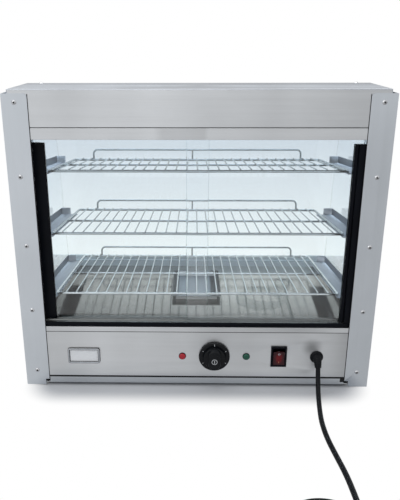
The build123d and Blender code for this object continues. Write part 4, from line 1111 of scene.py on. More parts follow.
def guard_grower() -> Grower:
    """The tree that bends one guard: a round-cornered hoop on two feet, with a leg near the middle.

    Returns:
        The grower, with inputs for every size.
    """
    sizes = ("Half width", "Rise", "Foot", "Radius", "Leg radius", "Leg place")
    grower = Grower("Shelf guard", {**dict.fromkeys(sizes, FLOAT), **WIRE_PIECE})
    sheet, given = grower.sheet, grower.given
    depth, rise, foot, leg_x = given["Depth"], given["Rise"], given["Foot"], given["Leg place"]
    line = sheet.add("GeometryNodeMeshLine", {"Count": 4}, mode="OFFSET").outputs[0]
    number = sheet.add("GeometryNodeInputIndex").outputs[0]
    left = sheet.maths("MULTIPLY", given["Half width"], -1.0)
    x = grower.choice(grower.test("GREATER_THAN", number, 1.5), left, given["Half width"])
    far = sheet.maths("ABSOLUTE", sheet.maths("SUBTRACT", number, 1.5))
    z = grower.choice(grower.test("GREATER_THAN", far, 1.0), rise, foot)
    shaped = sheet.add("GeometryNodeSetPosition", {"Geometry": line, "Position": sheet.vector(x, depth, z)})
    path = sheet.add("GeometryNodeMeshToCurve", {0: shaped.outputs[0]}).outputs[0]
    hoop = grower.swept(grower.bent(path), given["Radius"], 12)
    leg = grower.bar(sheet.vector(leg_x, depth, foot), sheet.vector(leg_x, depth, rise), given["Leg radius"], 10)
    grower.assemble((hoop, leg))
    return grower


def scatter_grower() -> Grower:
    """The tree that sets one made piece, such as a screw or a foot, on points that carry their own turn."""
    grower = Grower("Set on points", {"Piece": "NodeSocketObject", "Material": "NodeSocketMaterial"})
    sheet, given = grower.sheet, grower.given
    made = sheet.add("GeometryNodeObjectInfo", {"Object": given["Piece"]}).outputs["Geometry"]
    turn = sheet.add("GeometryNodeInputNamedAttribute", {"Name": "turn"}, data_type="FLOAT_VECTOR").outputs[0]
    rotation = sheet.add("FunctionNodeEulerToRotation", {0: turn}).outputs[0]
    copies = sheet.add("GeometryNodeInstanceOnPoints", {"Points": given["Geometry"], "Instance": made,
                                                        "Rotation": rotation}).outputs[0]
    grower.close(copies)
    return grower


@dataclass
class Growers:
    """The geometry trees, built once."""

    shelf: Grower
    guard: Grower
    scatter: Grower

    @classmethod
    def built(cls) -> "Growers":
        """Builds every tree."""
        return cls(shelf_grower(), guard_grower(), scatter_grower())


def points_with_turns(places: Sequence[tuple[Vector, Point]]) -> Mesh:
    """A mesh of loose points.

    Args:
        places: Each point and its turn about X, Y and Z, in radians.

    Returns:
        The mesh, with the attribute turn.
    """
    mesh = bpy.data.meshes.new("places")
    mesh.from_pydata([tuple(place) for place, _ in places], [], [])
    turns = mesh.attributes.new("turn", "FLOAT_VECTOR", "POINT")
    for index, (_, turn) in enumerate(places):
        turns.data[index].vector = turn
    return mesh


def set_on_points(grower: Grower, name: str, bm: BMesh, places: Sequence[tuple[Vector, Point]],
                  materials: Sequence[Material]) -> Mesh:
    """Copies a made piece onto points.

    Args:
        grower: The scatter tree.
        name: The result's name.
        bm: The piece, made round the origin.
        places: Each point and its turn.
        materials: The copies' main material, and those that its faces number from 1 on.

    Returns:
        One mesh with every copy.
    """
    made = bpy.data.objects.new(name + " pattern", finished_mesh(bm, name + " pattern"))
    for material in materials:
        made.data.materials.append(material)
    mesh = grower.grow(name, {"Piece": made, "Material": materials[0]}, points_with_turns(places))
    cleared(made)
    return mesh


# The view


@dataclass
class Studio:
    """The camera, the floor and the light."""

    place: Vector
    pitch: float = 20.139
    yaw: float = -1.169
    roll: float = -0.138
    focal_px: float = 640.8
    shift: tuple[float, float] = (0.0392, 0.0412)
    picture_height: int = 500
    sensor: float = 36.0
    left_shine: float = 1.0
    right_shine: float = 0.49
    shadow_half_width: float = 0.258
    shadow_half_depth: float = 0.19
    shadow_start: float = 0.024
    shadow_reach: float = 0.084
    fade_reach: float = 1.2
    floor_size: float = 6.0
    floor_colour: Rgba = (0.60, 0.61, 0.63, 1.0)
    sky_colour: Rgba = (0.93, 0.96, 1.0, 1.0)
    sky_strength: float = 0.55

    def aim(self) -> None:
        """Makes the camera that looks at the case as the photograph does."""
        pitch, yaw, roll = (math.radians(angle) for angle in (self.pitch, self.yaw, self.roll))
        forward = Vector((math.sin(yaw) * math.cos(pitch), math.cos(yaw) * math.cos(pitch), -math.sin(pitch)))
        level = Vector((math.cos(yaw), -math.sin(yaw), 0))
        upright = level.cross(forward)
        right = level * math.cos(roll) + upright * math.sin(roll)
        up = upright * math.cos(roll) - level * math.sin(roll)
        data = bpy.data.cameras.new("camera")
        data.sensor_width = self.sensor
        data.lens = self.focal_px * self.sensor / self.picture_height
        data.shift_x, data.shift_y = self.shift
        data.clip_end = 50
        camera = placed("camera", data)
        turn = Matrix((right, up, -forward)).transposed().to_4x4()
        camera.matrix_world = Matrix.Translation(self.place) @ turn
        bpy.context.scene.camera = camera

    def light(self) -> None:
        """Sets the world, the lamps and the floor."""
        scene = bpy.context.scene
        scene.view_settings.view_transform = "Standard"
        self.world(scene)
        self.lamp("overhead", at(-200, 500, 2100), at(0, 150, 100), 2.0, 26.0)
        self.lamp("key", at(-1300, -1100, 1500), at(0, 100, 250), 1.2, 7.0)
        self.floor()

    def world(self, scene: bpy.types.Scene) -> None:
        """A white surround for eye, metal and glass, and a softer one for light."""
        world = bpy.data.worlds.new("surround")
        scene.world = world
        world.use_nodes = True
        world.node_tree.nodes.clear()
        sheet = Sheet(world.node_tree)
        path = sheet.add("ShaderNodeLightPath").outputs
        seen = sheet.maths("MAXIMUM", path["Is Camera Ray"], path["Is Transmission Ray"])
        seen = sheet.maths("MAXIMUM", seen, path["Is Glossy Ray"])
        soft = sheet.add("ShaderNodeBackground", {"Color": self.sky_colour, "Strength": self.sky_strength})
        white = sheet.add("ShaderNodeBackground", {"Color": WHITE, "Strength": 1.0})
        both = sheet.add("ShaderNodeMixShader", {0: seen, 1: soft.outputs[0], 2: white.outputs[0]})
        sheet.add("ShaderNodeOutputWorld", {"Surface": both.outputs[0]})

    def lamp(self, name: str, place: Vector, target: Vector, size: float, power: float) -> None:
        """Adds one soft square lamp.

        Args:
            name: The lamp's name.
            place: Where it stands.
            target: What it points at.
            size: Its side, in metres.
            power: Its power, in watts.
        """
        data = bpy.data.lights.new(name, "AREA")
        data.size = size
        data.energy = power
        lamp = placed(name, data)
        lamp.matrix_world = Matrix.Translation(place) @ (target - place).to_track_quat("-Z", "Y").to_matrix().to_4x4()

    def clearance(self, sheet: Sheet, where: Socket) -> Socket:
        """How far a point of the floor lies from the case, from 0 under it to 1 away from it.

        Args:
            sheet: The floor's sheet.
            where: The point's socket.

        Returns:
            The clearance's socket.
        """
        parts = sheet.parts(where)
        gaps = []
        for axis, half in (("X", self.shadow_half_width), ("Y", self.shadow_half_depth)):
            beyond = sheet.maths("SUBTRACT", sheet.maths("ABSOLUTE", parts[axis]), half)
            gaps.append(sheet.maths("MAXIMUM", beyond, 0.0))
        squares = [sheet.maths("MULTIPLY", gap, gap) for gap in gaps]
        root = sheet.maths("SQRT", sheet.maths("ADD", *squares))
        return sheet.remap(root, self.shadow_start, self.shadow_reach, kind="SMOOTHSTEP")

    def floor(self) -> None:
        """Lays the pale floor, which keeps the case's soft shadow."""
        bm = bmesh.new()
        bmesh.ops.create_grid(bm, x_segments=1, y_segments=1, size=self.floor_size)
        mesh = finished_mesh(bm, "floor")
        material, sheet = blank_material("floor")
        matt = sheet.add("ShaderNodeBsdfDiffuse", {"Color": self.floor_colour})
        where = sheet.add("ShaderNodeTexCoord").outputs["Object"]
        clear = self.clearance(sheet, where)
        path = sheet.add("ShaderNodeLightPath").outputs
        seen = sheet.maths("MAXIMUM", path["Is Camera Ray"], path["Is Transmission Ray"])
        fade = sheet.remap(sheet.parts(where)["X"], -self.fade_reach, self.fade_reach, self.left_shine,
                           self.right_shine)
        white = sheet.add("ShaderNodeEmission", {"Color": WHITE, "Strength": sheet.maths("MAXIMUM", seen, fade)})
        either = sheet.maths("MAXIMUM", seen, path["Is Glossy Ray"])
        share = sheet.maths("MULTIPLY", either, clear)
        both = sheet.add("ShaderNodeMixShader", {0: share, 1: matt.outputs[0], 2: white.outputs[0]})
        sheet.add("ShaderNodeOutputMaterial", {"Surface": both.outputs[0]})
        mesh.materials.append(material)
        placed("floor", mesh)


# The power lead


@dataclass
class PowerLead:
    """The free cord from the gland to the plug: a loose run forward and a neat two-layer coil."""

    diameter: float = 9.0
    length: float = 1.79
    lead: float = 9.0
    radius: float = 63.0
    pitch: float = 9.5
    rise: float = 9.5
    halves_in: int = 4
    halves_out: int = 3
    per_half: int = 8
    tail: float = 38.0

    ROUTE: Sequence[Point] = (
        (229.0, -19.415, 53.156),
        (229.0, -26.768, 32.953),
        (227.8, -41.6, 17.22),
        (225.8, -62.5, 8.0),
        (222.6, -92.0, 4.6),
        (219.0, -130.0, 4.6),
        (219.6, -176.0, 4.6),
        (225.0, -224.0, 4.6),
        (230.6, -270.0, 4.6),
        (232.6, -318.0, 4.6),
        (233.0, -366.0, 4.6),
        (233.0, -392.0, 4.6),
    )

    def coil_points(self) -> list[Vector]:
        """The coil's own points: half turns that wind in, climb in the middle and wind out again.

        Returns:
            The points from the first half turn to the tail's end.
        """
        x, depth, z = self.ROUTE[-1]
        here = Vector((x, depth - self.lead, z))
        way = -1.0
        points = [here.copy()]
        shrink = self.pitch / 2
        radii = [self.radius - shrink * index for index in range(self.halves_in + 1)]
        radii += [radii[-1] + shrink * (index + 1) for index in range(self.halves_out)]
        swell = 1 / (0.75 + 0.25 * math.cos(math.pi / self.per_half))
        for number, radius in enumerate(radii):
            side = way
            centre = here + Vector((side * radius, 0, 0))
            climb = self.rise if number == self.halves_in else 0.0
            for step in range(self.per_half):
                share = (step + 0.5) / self.per_half
                angle = math.pi * share
                height = climb * (1 - math.cos(math.pi * share)) / 2
                points.append(centre + Vector((-side * radius * swell * math.cos(angle),
                                               way * radius * swell * math.sin(angle), height)))
            here = here + Vector((2 * side * radius, 0, climb))
            way = -way
        points.append(here + Vector((0, way * self.tail * 0.35, 0)))
        points.append(here + Vector((0, way * self.tail, 0)))
        return points

    def lay(self, shop: Workshop, plug: Sequence[Object]) -> Object:
        """Args:
            shop: Where pieces are shown.
            plug: The pieces at its far end; not used.

        Returns:
            The cord's curve.
        """
        data = bpy.data.curves.new("power_lead", "CURVE")
        data.dimensions = "3D"
        data.bevel_depth = self.diameter / 2 * MM
        data.bevel_resolution = 5
        data.resolution_u = 6
        data.use_fill_caps = True
        spline = data.splines.new("NURBS")
        places = [at(*point) for point in self.ROUTE] + [at(*point) for point in self.coil_points()]
        spline.points.add(len(places) - 1)
        for knot, place in zip(spline.points, places):
            knot.co = (*place, 1.0)
        spline.order_u = 3
        spline.use_endpoint_u = True
        data.materials.append(shop.palette.slots["cord_rubber"])
        cord = placed("power_lead", data)
        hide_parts("power_cord", "cord_coil")
        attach(cord, Body.CASE.value)
        LOG.info("power_lead: %d points", len(places))
        return cord


@dataclass
class Plug:
    """The mains plug: a ribbed sleeve and a rounded body with grip ridges."""

    sleeve: float = 24.0
    body: float = 34.0
    width: float = 38.0
    height: float = 28.0
    start: Point = (233.0, -439.0, 14.1)

    def make(self, shop: Workshop) -> list[Object]:
        """Makes the sleeve and body as one piece and dresses the pins.

        Args:
            shop: Where pieces are shown.

        Returns:
            The plug's piece and its pins.
        """
        origin = at(*self.start)
        ribs: list[tuple[float, float]] = []
        count = 9
        for index in range(count * 2 + 1):
            share = index / (count * 2)
            groove = 0.45 if index % 2 else 0.0
            ribs.append((5.7 + 2.3 * share - groove, self.sleeve * share))
        sleeve = turned([(0.0, 0.0), *ribs, (0.0, self.sleeve)], origin, FORWARD, 32)
        insets: list[tuple[float, float]] = [(0, 5.0), (1.2, 2.4), (3.5, 0.8), (7, 0.0)]
        for groove in (10, 15, 20):
            insets += [(groove, 0.0), (groove + 1, 0.9), (groove + 2, 0.9), (groove + 3, 0.0)]
        insets += [(32.6, 0.0), (33.6, 0.5), (self.body, 1.4)]
        layers = []
        for distance, inset in insets:
            tall = self.height - 2 * inset
            layers.append((distance + self.sleeve, rounded_outline(self.width - 2 * inset, tall, 0.38 * tall)))
        body = stacked(layers, origin, X_AXIS, Z_AXIS, FORWARD)
        piece = shop.put("plug_body", joined([body, sleeve]), "cord_rubber", Body.CASE, ["mains_plug"])
        shop.dress("plug_pins", "pin_brass")
        return [piece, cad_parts["plug_pins"]]


@dataclass
class Gland:
    """The strain relief: a flange on the panel and a ribbed boot that bends the cord down."""

    x: float = 229.0
    height: float = PANEL_MIDDLE
    face: float = 1.5
    flange: float = 12.5
    thick: float = 4.0
    bend: float = 18.0
    turn: float = 70.0
    root: float = 8.5
    tip: float = 6.25

    def make(self, shop: Workshop) -> None:
        """Makes the gland as one piece.

        Args:
            shop: Where pieces are shown.
        """
        base = at(self.x, self.face, self.height)
        r, thick = self.flange, self.thick
        flange = turned([(0, 0), (r, 0), (r, 1.6), (r - 0.5, 2.2), (r - 1.6, 2.6), (r - 2.6, 3.4), (r - 3.0, thick),
                         (0, thick)], base, FORWARD, 48)
        neck = turned([(0, 0), (8, 0), (8, 1.2), (12, 1.2), (12, 7.2), (0, 7.2)], base, Y_AXIS, 24)
        bm = bmesh.new()
        rings = []
        steps = 44
        for index in range(steps + 1):
            share = index / steps
            angle = math.radians(self.turn) * share
            centre = at(self.x, self.face - self.thick - self.bend * math.sin(angle),
                        self.height - self.bend * (1 - math.cos(angle)))
            heading = Vector((0, -math.cos(angle), -math.sin(angle)))
            upward = X_AXIS.cross(heading)
            phase = (share * 7) % 1.0
            rib = 0.0 if share < 0.08 or share > 0.94 else -0.75 * (1 if 0.25 < phase < 0.7 else 0)
            radius = self.root + (self.tip - self.root) * share + rib
            rings.append(ring(bm, centre, X_AXIS, upward, radius, 28))
        join_rings(bm, rings)
        whole = joined([outward(bm), flange, neck])
        shop.put("gland_boot", whole, "cord_rubber", Body.CASE, ["cable_gland"], crease=50)


# The case


@dataclass
class Sheetwork:
    """The folded sheets, tracks and pulls: copies of the CAD pieces with their edges eased."""

    sheet_ease: float = 0.00035
    plastic_ease: float = 0.0006
    strip_depth: float = 7.0

    STEEL_PIECES: Sequence[tuple[str, str]] = (
        ("base_left_side", "stainless_sheet"),
        ("base_right_side", "stainless_sheet"),
        ("base_rear_panel", "stainless_sheet"),
        ("front_sill", "stainless_sheet"),
        ("deck_side_rims", "stainless_sheet"),
        ("deck_plate", "polished_deck"),
        ("left_post", "post_steel"),
        ("right_post", "post_steel"),
        ("left_jamb", "channel_steel"),
        ("right_jamb", "channel_steel"),
        ("hood_ceiling", "stainless_sheet"),
        ("glass_clamp", "inner_steel"),
        ("top_brackets", "bracket_steel"),
        ("middle_brackets", "bracket_steel"),
        ("bottom_brackets", "bracket_steel"),
    )
    TONED_PIECES: Sequence[tuple[str, str, str]] = (
        ("base_tray", "inner_steel", "strip_steel"),
        ("control_panel", "stainless_sheet", "panel_steel"),
        ("hood_cover", "stainless_sheet", "hood_steel"),
        ("deck_rear_rim", "stainless_sheet", "rim_steel"),
        ("glass_channels", "channel_steel", "foot_channel"),
        ("hood_fascia", "stainless_sheet", "fascia_steel"),
        ("door_rail", "stainless_sheet", "rail_steel"),
    )
    PLASTIC_PIECES: Sequence[tuple[str, str, Body]] = (
        ("upper_door_track", "black_plastic", Body.CASE),
        ("left_door_pull", "black_plastic", Body.LEFT_DOOR),
        ("right_door_pull", "black_plastic", Body.RIGHT_DOOR),
        ("switch_housing", "black_plastic", Body.CASE),
    )

    def eased(self, shop: Workshop, node: str, slot: str, body: Body, width: float, finish: str = "") -> None:
        """Shows an eased copy of one CAD node.

        Args:
            shop: Where pieces are shown.
            node: The CAD node.
            slot: Its finish.
            body: The body that it rides on.
            width: How far its edges are rounded, in metres.
            finish: A finish of its own, where it looks unlike the rest of its slot.
        """
        bm = node_copy(node)
        ease(bm, width)
        shop.put(node + "_eased", bm, slot, body, [node], finishes=[finish] if finish else [])

    def sill_track(self, shop: Workshop) -> None:
        """Shows the lower track: a black strip in front of bright grooves.

        Args:
            shop: Where pieces are shown.
        """
        bm = node_copy("lower_door_track")
        ease(bm, self.sheet_ease)
        strip_back = at(0, self.strip_depth, 0).y
        painted(bm, lambda face: face.calc_center_median().y >= strip_back)
        shop.put("sill_track", bm, "black_plastic", Body.CASE, ["lower_door_track"],
                 [shop.palette.slots["groove_steel"]])

    def tray(self, shop: Workshop) -> None:
        """Shows the water tray, darker on its floor and rim than round its walls.

        Args:
            shop: Where pieces are shown.
        """
        bm = node_copy("water_tray")
        ease(bm, self.sheet_ease / 2)
        # Painted light and shade: the walls take the pale matt tray walls copy; the floor and rim take the darker
        # steel with its painted side shade.
        painted(bm, lambda face: face.normal.z <= 0.5)
        shop.put("water_tray_eased", bm, "stainless_sheet", Body.WATER_TRAY, ["water_tray"],
                 finishes=("tray_steel", "tray_walls"))

    def make(self, shop: Workshop) -> None:
        """Makes every eased piece.

        Args:
            shop: Where pieces are shown.
        """
        for node, slot in self.STEEL_PIECES:
            self.eased(shop, node, slot, Body.CASE, self.sheet_ease)
        for node, slot, finish in self.TONED_PIECES:
            self.eased(shop, node, slot, Body.CASE, self.sheet_ease, finish)
        for node, slot, body in self.PLASTIC_PIECES:
            self.eased(shop, node, slot, body, self.plastic_ease)
        self.sill_track(shop)
        self.tray(shop)


@dataclass
class SeamShadowStrips:
    """Thin dark strips of painted shadow in the joints of the sheet metal and along the posts' inner edges."""

    post_edge: float = 286.0
    strip_width: float = 0.9

    def bar(self, low: Vector, high: Vector) -> BMesh:
        """A straight dark strip with softened edges between two corners."""
        size = (high - low) / MM
        layers = []
        for height, inset in ((0.0, 0.15), (0.15, 0.0), (size.z - 0.15, 0.0), (size.z, 0.15)):
            outline = rounded_outline(size.x - 2 * inset, size.y - 2 * inset, 0.12, 2)
            layers.append((height, outline))
        origin = (low + high) / 2
        origin.z = low.z
        return stacked(layers, origin, X_AXIS, Y_AXIS, Z_AXIS)

    def make(self, shop: Workshop) -> None:
        """Makes the painted shadow strips as one piece.

        Args:
            shop: Where pieces are shown.
        """
        edge = self.post_edge
        fascia_foot = ((-edge, 1.6, 495.15), (edge, 2.6, 496.05))
        panel_foot = ((-edge, 1.05, 18.6), (edge, 2.65, 21.9))
        lip_end = ((edge - 8.5, 1.05, 11.0), (edge - 0.5, 2.0, 18.8))
        panel_top = ((-edge, 1.25, 115.0), (edge, 1.48, 116.0))
        left_post = ((-edge, 0.7, 20.0), (-edge + self.strip_width, 1.45, 551.0))
        right_post = ((edge - self.strip_width, 0.7, 20.0), (edge, 1.45, 551.0))
        bars = [self.bar(at(*low), at(*high))
                for low, high in (fascia_foot, panel_foot, lip_end, panel_top, left_post, right_post)]
        # Painted shadow: black strips stand where the joints and the posts' edges fall into shade.
        shop.put("seam_seals", joined(bars), "black_rubber", Body.CASE)


@dataclass
class Glazing:
    """The panes, with polished faces and greener ground edges."""

    chamfer: float = 0.0008
    half_width: float = 318.0
    thick: float = 5.0
    hood_depth: float = 149.5
    tuck: float = 20.0
    top: float = 552.6
    lean: float = 8.5
    foot_depth: float = 394.0
    foot_height: float = 136.0
    foot: float = 126.8

    def pane(self, shop: Workshop, node: str, slot: str, body: Body, broad: Vector) -> None:
        """Shows one flat pane with chamfered edges.

        Args:
            shop: Where pieces are shown.
            node: The CAD node.
            slot: Its finish.
            body: The body that it rides on.
            broad: The direction that its broad faces look in.
        """
        bm = node_copy(node)
        ease(bm, self.chamfer, turn=60)
        painted(bm, lambda face: abs(face.normal.dot(broad)) <= 0.95)
        shop.put(node + "_pane", bm, slot, body, [node], [shop.palette.glass_edge], 12)

    def bend(self, offset: float) -> list[tuple[float, float]]:
        """The curved pane's line of depth and height, a distance outside its inner face.

        Args:
            offset: The distance, in millimetres.

        Returns:
            The line's points, from under the hood to the foot.
        """
        cos, sin = math.cos(math.radians(self.lean)), math.sin(math.radians(self.lean))
        radius = (cos * (self.foot_depth - self.hood_depth) + sin * (self.foot_height - self.top)) / (1 - sin)
        centre = (self.hood_depth, self.top - radius)
        outer = radius + offset
        steps = 56
        sweep = math.radians(90 - self.lean)
        line = [(self.hood_depth - self.tuck, centre[1] + outer)]
        for step in range(steps + 1):
            angle = sweep * step / steps
            line.append((centre[0] + outer * math.sin(angle), centre[1] + outer * math.cos(angle)))
        end = line[-1]
        line.append((end[0] + (end[1] - self.foot) * sin / cos, self.foot))
        return line

    @staticmethod
    def breadth(face: bmesh.types.BMFace) -> float:
        """How far a face reaches along X, in metres."""
        places = [vert.co.x for vert in face.verts]
        return max(places) - min(places)

    def curved(self, shop: Workshop) -> None:
        """Shows the bent pane.

        Args:
            shop: Where pieces are shown.
        """
        inner = self.bend(0.0)
        outer = self.bend(self.thick)
        edge = 0.7
        inner_mid, outer_mid = self.bend(edge), self.bend(self.thick - edge)
        half = self.half_width
        bm = bmesh.new()
        rings = []
        for near, near_mid, far_mid, far in zip(inner, inner_mid, outer_mid, outer):
            corners = ((-half + edge, near), (-half, near_mid), (-half, far_mid), (-half + edge, far),
                       (half - edge, far), (half, far_mid), (half, near_mid), (half - edge, near))
            rings.append([bm.verts.new(at(x, *place)) for x, place in corners])
        join_rings(bm, rings)
        painted(outward(bm), lambda face: len(face.verts) != 4 or self.breadth(face) <= half * MM)
        shop.put("curved_pane", bm, "clear_glass", Body.CASE, ["curved_glass"], [shop.palette.bent_edge], 30)

    def make(self, shop: Workshop) -> None:
        """Makes every pane.

        Args:
            shop: Where pieces are shown.
        """
        self.curved(shop)
        self.pane(shop, "left_side_glass", "clear_glass", Body.CASE, X_AXIS)
        self.pane(shop, "right_side_glass", "clear_glass", Body.CASE, X_AXIS)
        self.pane(shop, "left_door_glass", "door_glass", Body.LEFT_DOOR, Y_AXIS)
        self.pane(shop, "right_door_glass", "door_glass", Body.RIGHT_DOOR, Y_AXIS)


@dataclass
class WireShelf:
    """One sloping shelf of welded wire and its guard."""

    name: str
    body: Body
    height: float
    front: float = 51.0
    slope: float = SHELF_SLOPE
    half_width: float = 270.5
    gaps: int = 28
    wire: str = "chrome_wire"
    frame_radius: float = 0.0025
    corner: float = 0.007
    wire_radius: float = 0.0013
    wire_height: float = 0.0034
    middle_share: float = 0.47
    middle_radius: float = 0.002
    middle_height: float = 0.0005
    guard_inset: float = 3.6
    guard_rise: float = 0.022
    guard_foot: float = 0.00125
    guard_corner: float = 0.009
    guard_radius: float = 0.002
    leg_radius: float = 0.00175

    def depth(self) -> float:
        """The shelf's depth between its front and back wires, read from the CAD box, in metres."""
        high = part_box(self.name + "_shelf")[1]
        return (high[1] - at(0, self.front, 0).y - self.frame_radius) / math.cos(math.radians(self.slope))

    def make(self, shop: Workshop, growers: Growers) -> None:
        """Makes the shelf and the guard.

        Args:
            shop: Where pieces are shown.
            growers: The geometry trees.
        """
        depth = self.depth()
        pitch = 2 * self.half_width / self.gaps
        shared = {"Depth": depth, "Slope": -math.radians(self.slope),
                  "Place": tuple(at(0, self.front, self.height))}
        shelf = growers.shelf.grow(self.name + "_wires", {
            **shared, "Half width": self.half_width * MM, "Frame radius": self.frame_radius, "Corner": self.corner,
            "Gaps": self.gaps, "Wire radius": self.wire_radius, "Wire height": self.wire_height,
            "Middle share": self.middle_share, "Middle radius": self.middle_radius,
            "Middle height": self.middle_height, "Material": shop.palette.slots[self.wire],
        })
        shop.show(self.name + "_wires", shelf, "chrome_wire", self.body, [self.name + "_shelf"])
        guard = growers.guard.grow(self.name + "_guard_hoop", {
            **shared, "Half width": (self.half_width - 2 * pitch - self.guard_inset) * MM, "Rise": self.guard_rise,
            "Foot": self.guard_foot, "Corner": self.guard_corner, "Radius": self.guard_radius,
            "Leg radius": self.leg_radius, "Leg place": -pitch / 2 * MM,
            "Material": shop.palette.slots["chrome_wire"],
        })
        shop.show(self.name + "_guard_hoop", guard, "chrome_wire", self.body, [self.name + "_guard"])


@dataclass
class Screws:
    """Dome-headed screws with a cross recess."""

    head: float = 4.2
    rise: float = 2.4
    shank: float = 2.0
    front_x: float = 308.0
    front_first: float = 33.5
    front_step: float = 126.0
    front_rows: int = 5
    rear_x: float = 314.3
    rear_depth: float = 409.7
    rear_heights: tuple[float, float] = (40.02, 103.08)
    hood_x: float = 292.0
    hood_depth: float = 141.0
    hood_height: float = 558.8
    bracket_x: float = 296.5
    bracket_depth: float = 35.5
    bracket_reach: float = 17.0
    bracket_rise: float = 3.5
    bracket_spread: float = 9.6

    def dome_radius(self) -> float:
        """The radius of the sphere that the head is a cap of, in millimetres."""
        return (self.head ** 2 + self.rise ** 2) / (2 * self.rise)

    def pattern(self, length: float) -> BMesh:
        """One screw at the origin, its head towards +Z.

        Args:
            length: The shank's length, in millimetres.

        Returns:
            The screw.
        """
        sphere = self.dome_radius()
        profile: list[tuple[float, float]] = [(0, -length), (self.shank * 0.6, -length), (self.shank, -length + 0.8),
                                              (self.shank, 0), (self.head, 0), (self.head, 0.25)]
        steps = 7
        for step in range(steps):
            radius = self.head * (1 - (step + 0.4) / steps * 0.86)
            profile.append((radius, self.rise - sphere + math.sqrt(sphere ** 2 - radius ** 2)))
        profile.append((0, self.rise))
        return turned(profile, ORIGIN, Z_AXIS, 24)

    def recessed(self, length: float) -> BMesh:
        """One screw with its cross recess cut.

        Args:
            length: The shank's length, in millimetres.

        Returns:
            The cut screw.
        """
        body = placed("screw blank", finished_mesh(self.pattern(length), "screw blank"))
        bars = []
        for across, up in ((X_AXIS, Y_AXIS), (Y_AXIS, -X_AXIS)):
            layers = [(0.7, rounded_outline(2.8, 1.1, 0.35, 3)), (self.rise + 1.0, rounded_outline(5.6, 1.7, 0.5, 3))]
            bars.append(stacked(layers, ORIGIN, across, up, Z_AXIS))
        cutters = [placed("cross bar", finished_mesh(bar, "cross bar")) for bar in bars]
        for cutter in cutters:
            cut = body.modifiers.new("Recess", "BOOLEAN")
            cut.object = cutter
            cut.operation = "DIFFERENCE"
            cut.solver = "EXACT"
        graph = bpy.context.evaluated_depsgraph_get()
        mesh = bpy.data.meshes.new_from_object(body.evaluated_get(graph), depsgraph=graph)
        bm = bmesh.new()
        bm.from_mesh(mesh)
        cleared(body, *cutters)
        bpy.data.meshes.remove(mesh)
        sphere = self.dome_radius()

        def sunk(face: bmesh.types.BMFace) -> bool:
            """Whether a face lies in the recess."""
            middle = face.calc_center_median() / MM
            spread = math.hypot(middle.x, middle.y)
            if spread >= 3.0 or middle.z <= 0.3:
                return False
            return middle.z < self.rise - sphere + math.sqrt(sphere ** 2 - spread ** 2) - 0.12

        # Painted shadow: the faces inside the cross recess take the dark recess shadow.
        return painted(bm, sunk)

    def make(self, shop: Workshop, growers: Growers) -> None:
        """Makes every screw of the case.

        Args:
            shop: Where pieces are shown.
            growers: The geometry trees.
        """
        quarter = math.pi / 2
        front = [(at(side * self.front_x, 0, self.front_first + self.front_step * row),
                  (quarter, 0.3 + 0.9 * row + 0.4 * side, 0)) for row in range(self.front_rows) for side in (-1, 1)]
        rear = [(at(side * self.rear_x, self.rear_depth, z), (-quarter, 0.5 * side + z, 0))
                for side in (-1, 1) for z in self.rear_heights]
        hood = [(at(side * self.hood_x, self.hood_depth, self.hood_height), (0, 0, 0.7 * side)) for side in (-1, 1)]
        steel = (shop.palette.slots["screw_steel"], shop.palette.painted_recess_shadow)
        long = set_on_points(growers.scatter, "case_screw_set", self.recessed(9), front + rear + hood, steel)
        shop.show("case_screw_set", long, "screw_steel", Body.CASE, ["case_screws"])
        centres = [height + self.bracket_reach * math.tan(math.radians(SHELF_SLOPE)) + self.bracket_rise
                   for height in SHELF_HEIGHTS.values()]
        places = [(at(side * self.bracket_x, self.bracket_depth, centre + way * self.bracket_spread),
                   (-quarter, way * 0.9, 0)) for centre in centres for side in (-1, 1) for way in (-1, 1)]
        short = set_on_points(growers.scatter, "bracket_screw_set", self.recessed(6), places, steel)
        shop.show("bracket_screw_set", short, "screw_steel", Body.CASE, ["bracket_screws"])


@dataclass
class Feet:
    """Four round rubber feet with a grooved rim."""

    x: float = 288.0
    depths: tuple[float, float] = (24.0, 385.7)

    def make(self, shop: Workshop, growers: Growers) -> None:
        """Makes the feet.

        Args:
            shop: Where pieces are shown.
            growers: The geometry trees.
        """
        profile = [(0, 0), (11.5, 0), (12.6, 0.5), (13.2, 1.4), (13.4, 2.6), (12.9, 3.0), (12.9, 3.5), (13.6, 4.0),
                   (14.0, 5.0), (14.0, 6.0), (4.0, 6.0), (4.0, 7.2), (5.5, 7.2), (5.3, 9.0), (4.2, 9.7), (0, 9.7)]
        foot = turned(profile, ORIGIN, Z_AXIS, 40)
        places = [(at(side * self.x, depth, 0), (0.0, 0.0, 0.0)) for side in (-1, 1) for depth in self.depths]
        mesh = set_on_points(growers.scatter, "foot_set", foot, places, [shop.palette.slots["black_rubber"]])
        shop.show("foot_set", mesh, "black_rubber", Body.CASE, ["rubber_feet"])


